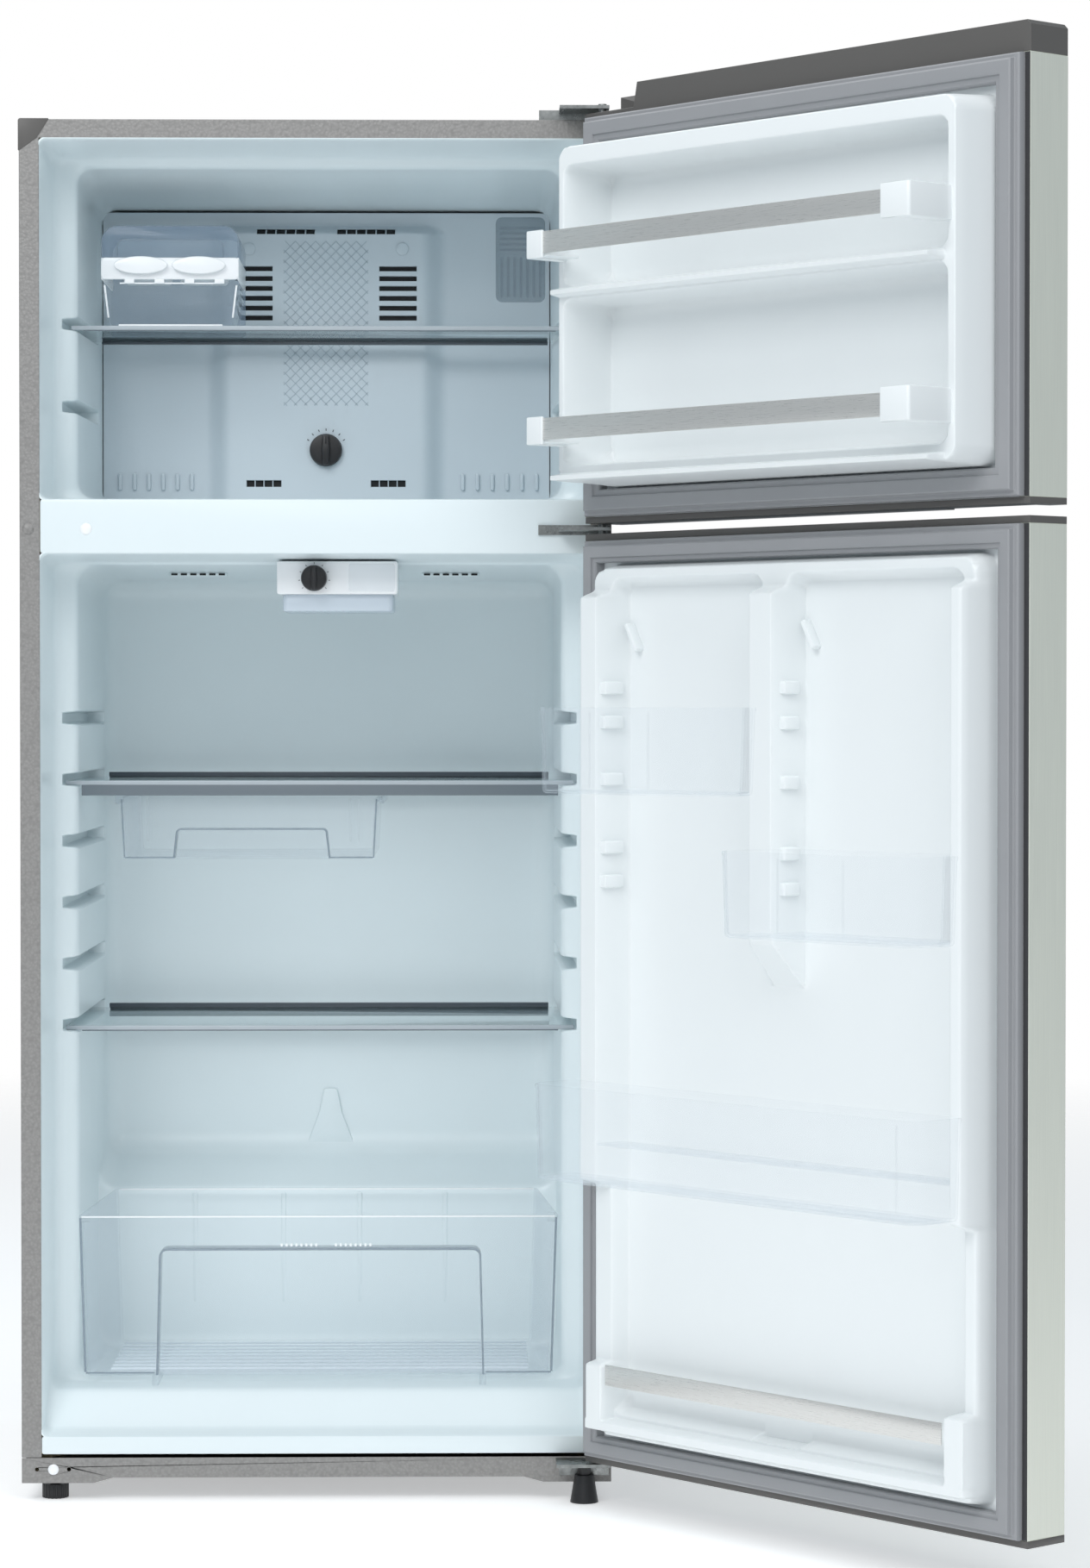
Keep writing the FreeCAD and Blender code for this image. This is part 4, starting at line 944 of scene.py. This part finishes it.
def freezer_door():
    door_liner("freezer_door_sheet", "freezer_door", freezer_door_height,
               [26.5, 40, 48, 636, 644, 659.5],
               [1214.5, 1219, 1229, 1237, 1434, 1440, 1447, 1590, 1600, 1617])
    low, high = node_box("freezer_door_gasket")
    gasket("freezer_door_seal", "freezer_door", low.z, high.z, 32.0)
    strips, brackets = [], []
    for z in (1265.5, 1481.5):
        strips.append(slab(rectangle(46.5, 626, z + 0.2, z + 25.8), 1.0, 147.8, 149.4, 0.4, "y"))
        left = [(33.5, 95.2), (33.5, 151.0), (62, 151.0), (62, 147.5), (45, 145.8), (45, 95.2)]
        brackets.append(slab(left, [2, 3, 1.5, 1, 3, 1.5], z - 4.6, z + 27.6, 1.4))
        right = [(626.5, 147.6), (605, 147.6), (605, 151.2), (648, 151.2), (648.6, 83.0), (627, 83.0)]
        brackets.append(slab(right, [2, 1, 2, 4, 4, 2], z - 5.6, z + 32.0, 2.0))
        clip = [(46, 146), (70, 146), (70, 100), (64, 96), (46, 96)]
        brackets.append(slab(clip, [1, 3, 3, 2, 1], z - 2.6, z + 2.0, 0.8))
    piece("freezer_door_strips", joined(*strips), STRIP, "freezer_door",
          ["freezer_retainer_strips"], door=True)
    piece("freezer_door_brackets", joined(*brackets), DOOR_WHITE, "freezer_door",
          ["freezer_retainer_brackets"], door=True)


def fridge_door():
    door_liner("fridge_door_sheet", "fridge_door", fridge_door_height,
               [30, 64, 300, 324, 357, 380, 634, 656, 614, 72, 36],
               [89, 101, 110, 121, 187, 195, 396, 640, 660, 680, 1088, 1109, 1126, 1118])
    low, high = node_box("fridge_door_gasket")
    gasket("fridge_door_seal", "fridge_door", low.z, high.z, 27.5)
    pegs = []
    for z in (752, 792, 872, 939, 979):
        for u, w in ((70.0, 64.0), (318.0, 58.0), (363.0, 58.0), (628.0, 58.0)):
            pegs.append(slab(rectangle(u - 6.5, u + 6.5, z - 8, z + 7), 2.5, 34.0, w, 2.0, "y"))
    for u in (86.0, 379.0):
        rib = [(u - 12, 1052), (u - 6, 1056), (u + 12, 1024), (u + 6, 1020)]
        pegs.append(slab(rib, 3.0, 20.0, 34.0, 2.5, "y"))
    piece("fridge_door_pegs", joined(*pegs), DOOR_WHITE, "fridge_door", door=True)
    strip = slab(rectangle(72.5, 613.5, 158.3, 182.8), 1.0, 60.1, 61.4, 0.4, "y")
    piece("fridge_door_strip", strip, STRIP, "fridge_door", ["fridge_retainer_strip"],
          door=True)


def door_bins():
    def bin_shape(plan, radii, z0, z1, grips):
        parts = [tub(plan, radii, z0, z1, wall=2.3, taper=3.0, lip=0.5, floor=2.4)]
        for u in grips:
            parts.append(slab(rectangle(u - 1.0, u + 1.0, 146.0, 148.2), 0.4, z0 + 8, z1 - 6, 0.4))
        return joined(*parts)

    def plan(a, b, c, d, shoulder=72.5):
        return [(c, 27.2), (d, 27.2), (d, shoulder), (b, shoulder), (b, 130), (b - 12, 147.4),
                (a + 12, 147.4), (a, 130), (a, shoulder), (c, shoulder)]

    radii = [6, 6, 3, 5, 12, 12, 12, 12, 5, 3]
    for name, a, b, c, d, z0, z1 in (("upper_door_bin", 41.3, 338.7, 70.8, 317.2, 856.2, 955.8),
                                     ("middle_door_bin", 347.3, 648.7, 363.8, 627.2, 700.2, 796.8)):
        third = (b - a) / 3
        shape = bin_shape(plan(a, b, c, d), radii, z0, z1, [a + third, a + 2 * third])
        piece(name + "_shell", shape, CLEAR, name, [name], door=True)
    deep = [(31.2, 73.2), (654.8, 73.2), (654.8, 128), (641, 147.6), (45, 147.6), (31.2, 128)]
    shape = joined(bin_shape(deep, [5, 5, 14, 14, 14, 14], 405.2, 516.8, [58.0, 628.0]),
                   slab(rectangle(66, 632, 27.4, 71), 6.0, 441.7, 444.0, 0.8))
    piece("lower_door_bin_shell", shape, CLEAR, "lower_door_bin",
          ["lower_door_bin"], door=True)


# ------------------------------------------------------------------ cabinet outside
def crossbar_and_plugs():
    shape = slab(rectangle(-330.9, 330.9, 1139.9, 1205.6), 4.0, 0.1, 5.8, 2.2, "y")
    piece("mullion_front", shape, WHITE, "cabinet", ["mullion_cover"])
    corner = [(-356.0, 1661.0), (-318.5, 1661.0), (-331.2, 1640.8), (-333.8, 1637.2),
              (-356.0, 1621.4)]
    cap = slab(corner, [3, 1, 2, 2, 1], -0.65, -0.02, 0.25, "y")
    piece("corner_cap", cap, CAP, "cabinet", ["case_plugs"])
    for name, x, z, r, material in (("case_plug_grey", -345.0, 1169.8, 7.0, CASE),
                                    ("mullion_plug_white", -275.5, 1169.8, 7.0, BRIGHT_WHITE),
                                    ("kick_plug_white", -317.0, 37.5, 6.5, BRIGHT_WHITE)):
        plug = turned([(0.3, -2.3), (r * 0.55, -2.1), (r * 0.88, -1.3), (r, -0.4), (r, 0.0)], (x, z), 36)
        piece(name, plug, material, "cabinet")


def carried_over():
    """CAD nodes whose shape is right: rounded edges and real materials."""
    dress("outer_case", CASE, 1.0)
    dress("kick_plate", CASE, 0.5)
    dress("rear_panel", GALVANISED, 0.4)
    dress("base_tray", GALVANISED, 0.4)
    dress("cabinet_foam", FOAM)
    dress("compressor", BLACK_PAINT, 0.8)
    dress("condenser_coil", BLACK_PAINT)
    dress("evaporator_coil", ALUMINIUM)
    dress("evaporator_fan", COVER_WHITE, 0.4)
    dress("fan_motor", GALVANISED, 0.6)
    dress("cord_gland", BLACK, 0.5)
    for name in ("top_hinge", "middle_hinge", "bottom_hinge", "hinge_screws"):
        dress(name, ZINC, 0.5)
    dress("rear_rollers", BLACK, 1.0)
    dress("left_foot", BLACK, 0.5)
    dress("right_foot", BLACK, 0.8)
    for door in ("freezer_door", "fridge_door"):
        dress(door + "_skin", DOOR_STEEL, 0.9)
        dress(door + "_foam", FOAM)
        dress(door + "_top_cap", CAP, 0.7)
        dress(door + "_bottom_cap", CAP, 0.7)
        dress(door + "_bushes", NYLON, 0.3)


# ------------------------------------------------------------------ scene
def floor():
    """A pale floor that fades out a few metres away."""
    radius = 14.0
    rings = [[(x, y, -0.0004) for x, y in circle(0.0, 0.0, radius * share, 72)]
             for share in (0.02, 0.15, 0.4, 1.0)]
    verts, faces = stack(rings)
    mesh = bpy.data.meshes.new("floor")
    mesh.from_pydata(verts, [], faces[:-1])
    s = Shader("pale_floor", Roughness=0.75, Emission_Color=(1.0, 1.0, 1.0, 1.0), Emission_Strength=0.35)
    s.feed("Base Color", s.colours(s.noise(2.0), (0.94, 0.94, 0.94, 1), (0.96, 0.96, 0.96, 1)))
    place = s.node("NewGeometry").outputs["Position"]
    reach = s.node("VectorMath", {0: place}, operation="LENGTH").outputs["Value"]
    s.feed("Alpha", s.spread(reach, 1.0, 0.0, 2.2, 6.0))
    mesh.materials.append(s.material)
    item = bpy.data.objects.new("floor", mesh)
    bpy.context.scene.collection.objects.link(item)


def surroundings():
    """Soft bluish light from all round, in front of a plain white backdrop."""
    world = bpy.data.worlds.new("studio")
    world.use_nodes = True
    tree = world.node_tree
    soft = tree.nodes["Background"]
    soft.inputs["Color"].default_value = (0.77, 0.90, 1.0, 1)
    soft.inputs["Strength"].default_value = 0.33
    plain = tree.nodes.new("ShaderNodeBackground")
    plain.inputs["Color"].default_value = (1.0, 1.0, 1.0, 1)
    choice = tree.nodes.new("ShaderNodeMixShader")
    path = tree.nodes.new("ShaderNodeLightPath")
    tree.links.new(path.outputs["Is Camera Ray"], choice.inputs["Fac"])
    tree.links.new(soft.outputs["Background"], choice.inputs[1])
    tree.links.new(plain.outputs["Background"], choice.inputs[2])
    tree.links.new(choice.outputs["Shader"], tree.nodes["World Output"].inputs["Surface"])
    bpy.context.scene.world = world
    bpy.context.scene.view_settings.view_transform = "Standard"


def lamps():
    """Square soft lights, each with its place and size in metres and its power in watts."""
    aim = Vector((0.1, 0.0, 0.9))
    for name, place, size, power in (("key", (-1.5, -3.5, 3.7), 2.0, 77.0),
                                     ("fill", (1.8, -3.7, 3.6), 2.2, 40.0),
                                     ("front", (-0.6, -5.2, 2.2), 2.0, 14.0),
                                     ("top", (0.0, -0.6, 4.4), 3.4, 46.0),
                                     ("back", (-1.5, 2.2, 3.6), 2.4, 30.0)):
        light = bpy.data.lights.new(name, "AREA")
        light.shape = "SQUARE"
        light.size = size
        light.energy = power
        lamp = bpy.data.objects.new(name, light)
        lamp.location = place
        lamp.rotation_euler = (aim - Vector(place)).to_track_quat("-Z", "Y").to_euler()
        bpy.context.scene.collection.objects.link(lamp)


def viewpoint():
    """The camera: 5.1 m in front of the cabinet, a little to the right of its middle."""
    camera = bpy.data.cameras.new("camera")
    camera.sensor_fit = "VERTICAL"
    camera.sensor_height = 36.0
    camera.lens = 98.05
    camera.clip_end = 60.0
    view = bpy.data.objects.new("camera", camera)
    view.location = (0.1934, -5.1366, 0.963)
    view.rotation_euler = (math.radians(90 - 1.111), 0.0, math.radians(-0.911))
    bpy.context.scene.collection.objects.link(view)
    bpy.context.scene.camera = view


freezer_room()
fridge_room()
fridge_room_details()
evaporator_cover()
lattice()
freezer_lamp()
airflow_knob()
ice_frame()
ice_twister("ice_twister_left")
ice_twister("ice_twister_right")
ice_bin()
shelf("freezer_shelf", 290.5, 304.8, 3.0, 2.0)
shelf("upper_shelf", 293.5, 312.8, 7.3, 14.0)
shelf("lower_shelf", 293.5, 312.8, 7.3, 2.4)
snack_drawer()
crisper_drawer()
control_unit()
freezer_door()
fridge_door()
door_bins()
crossbar_and_plugs()
carried_over()
floor()
surroundings()
lamps()
viewpoint()
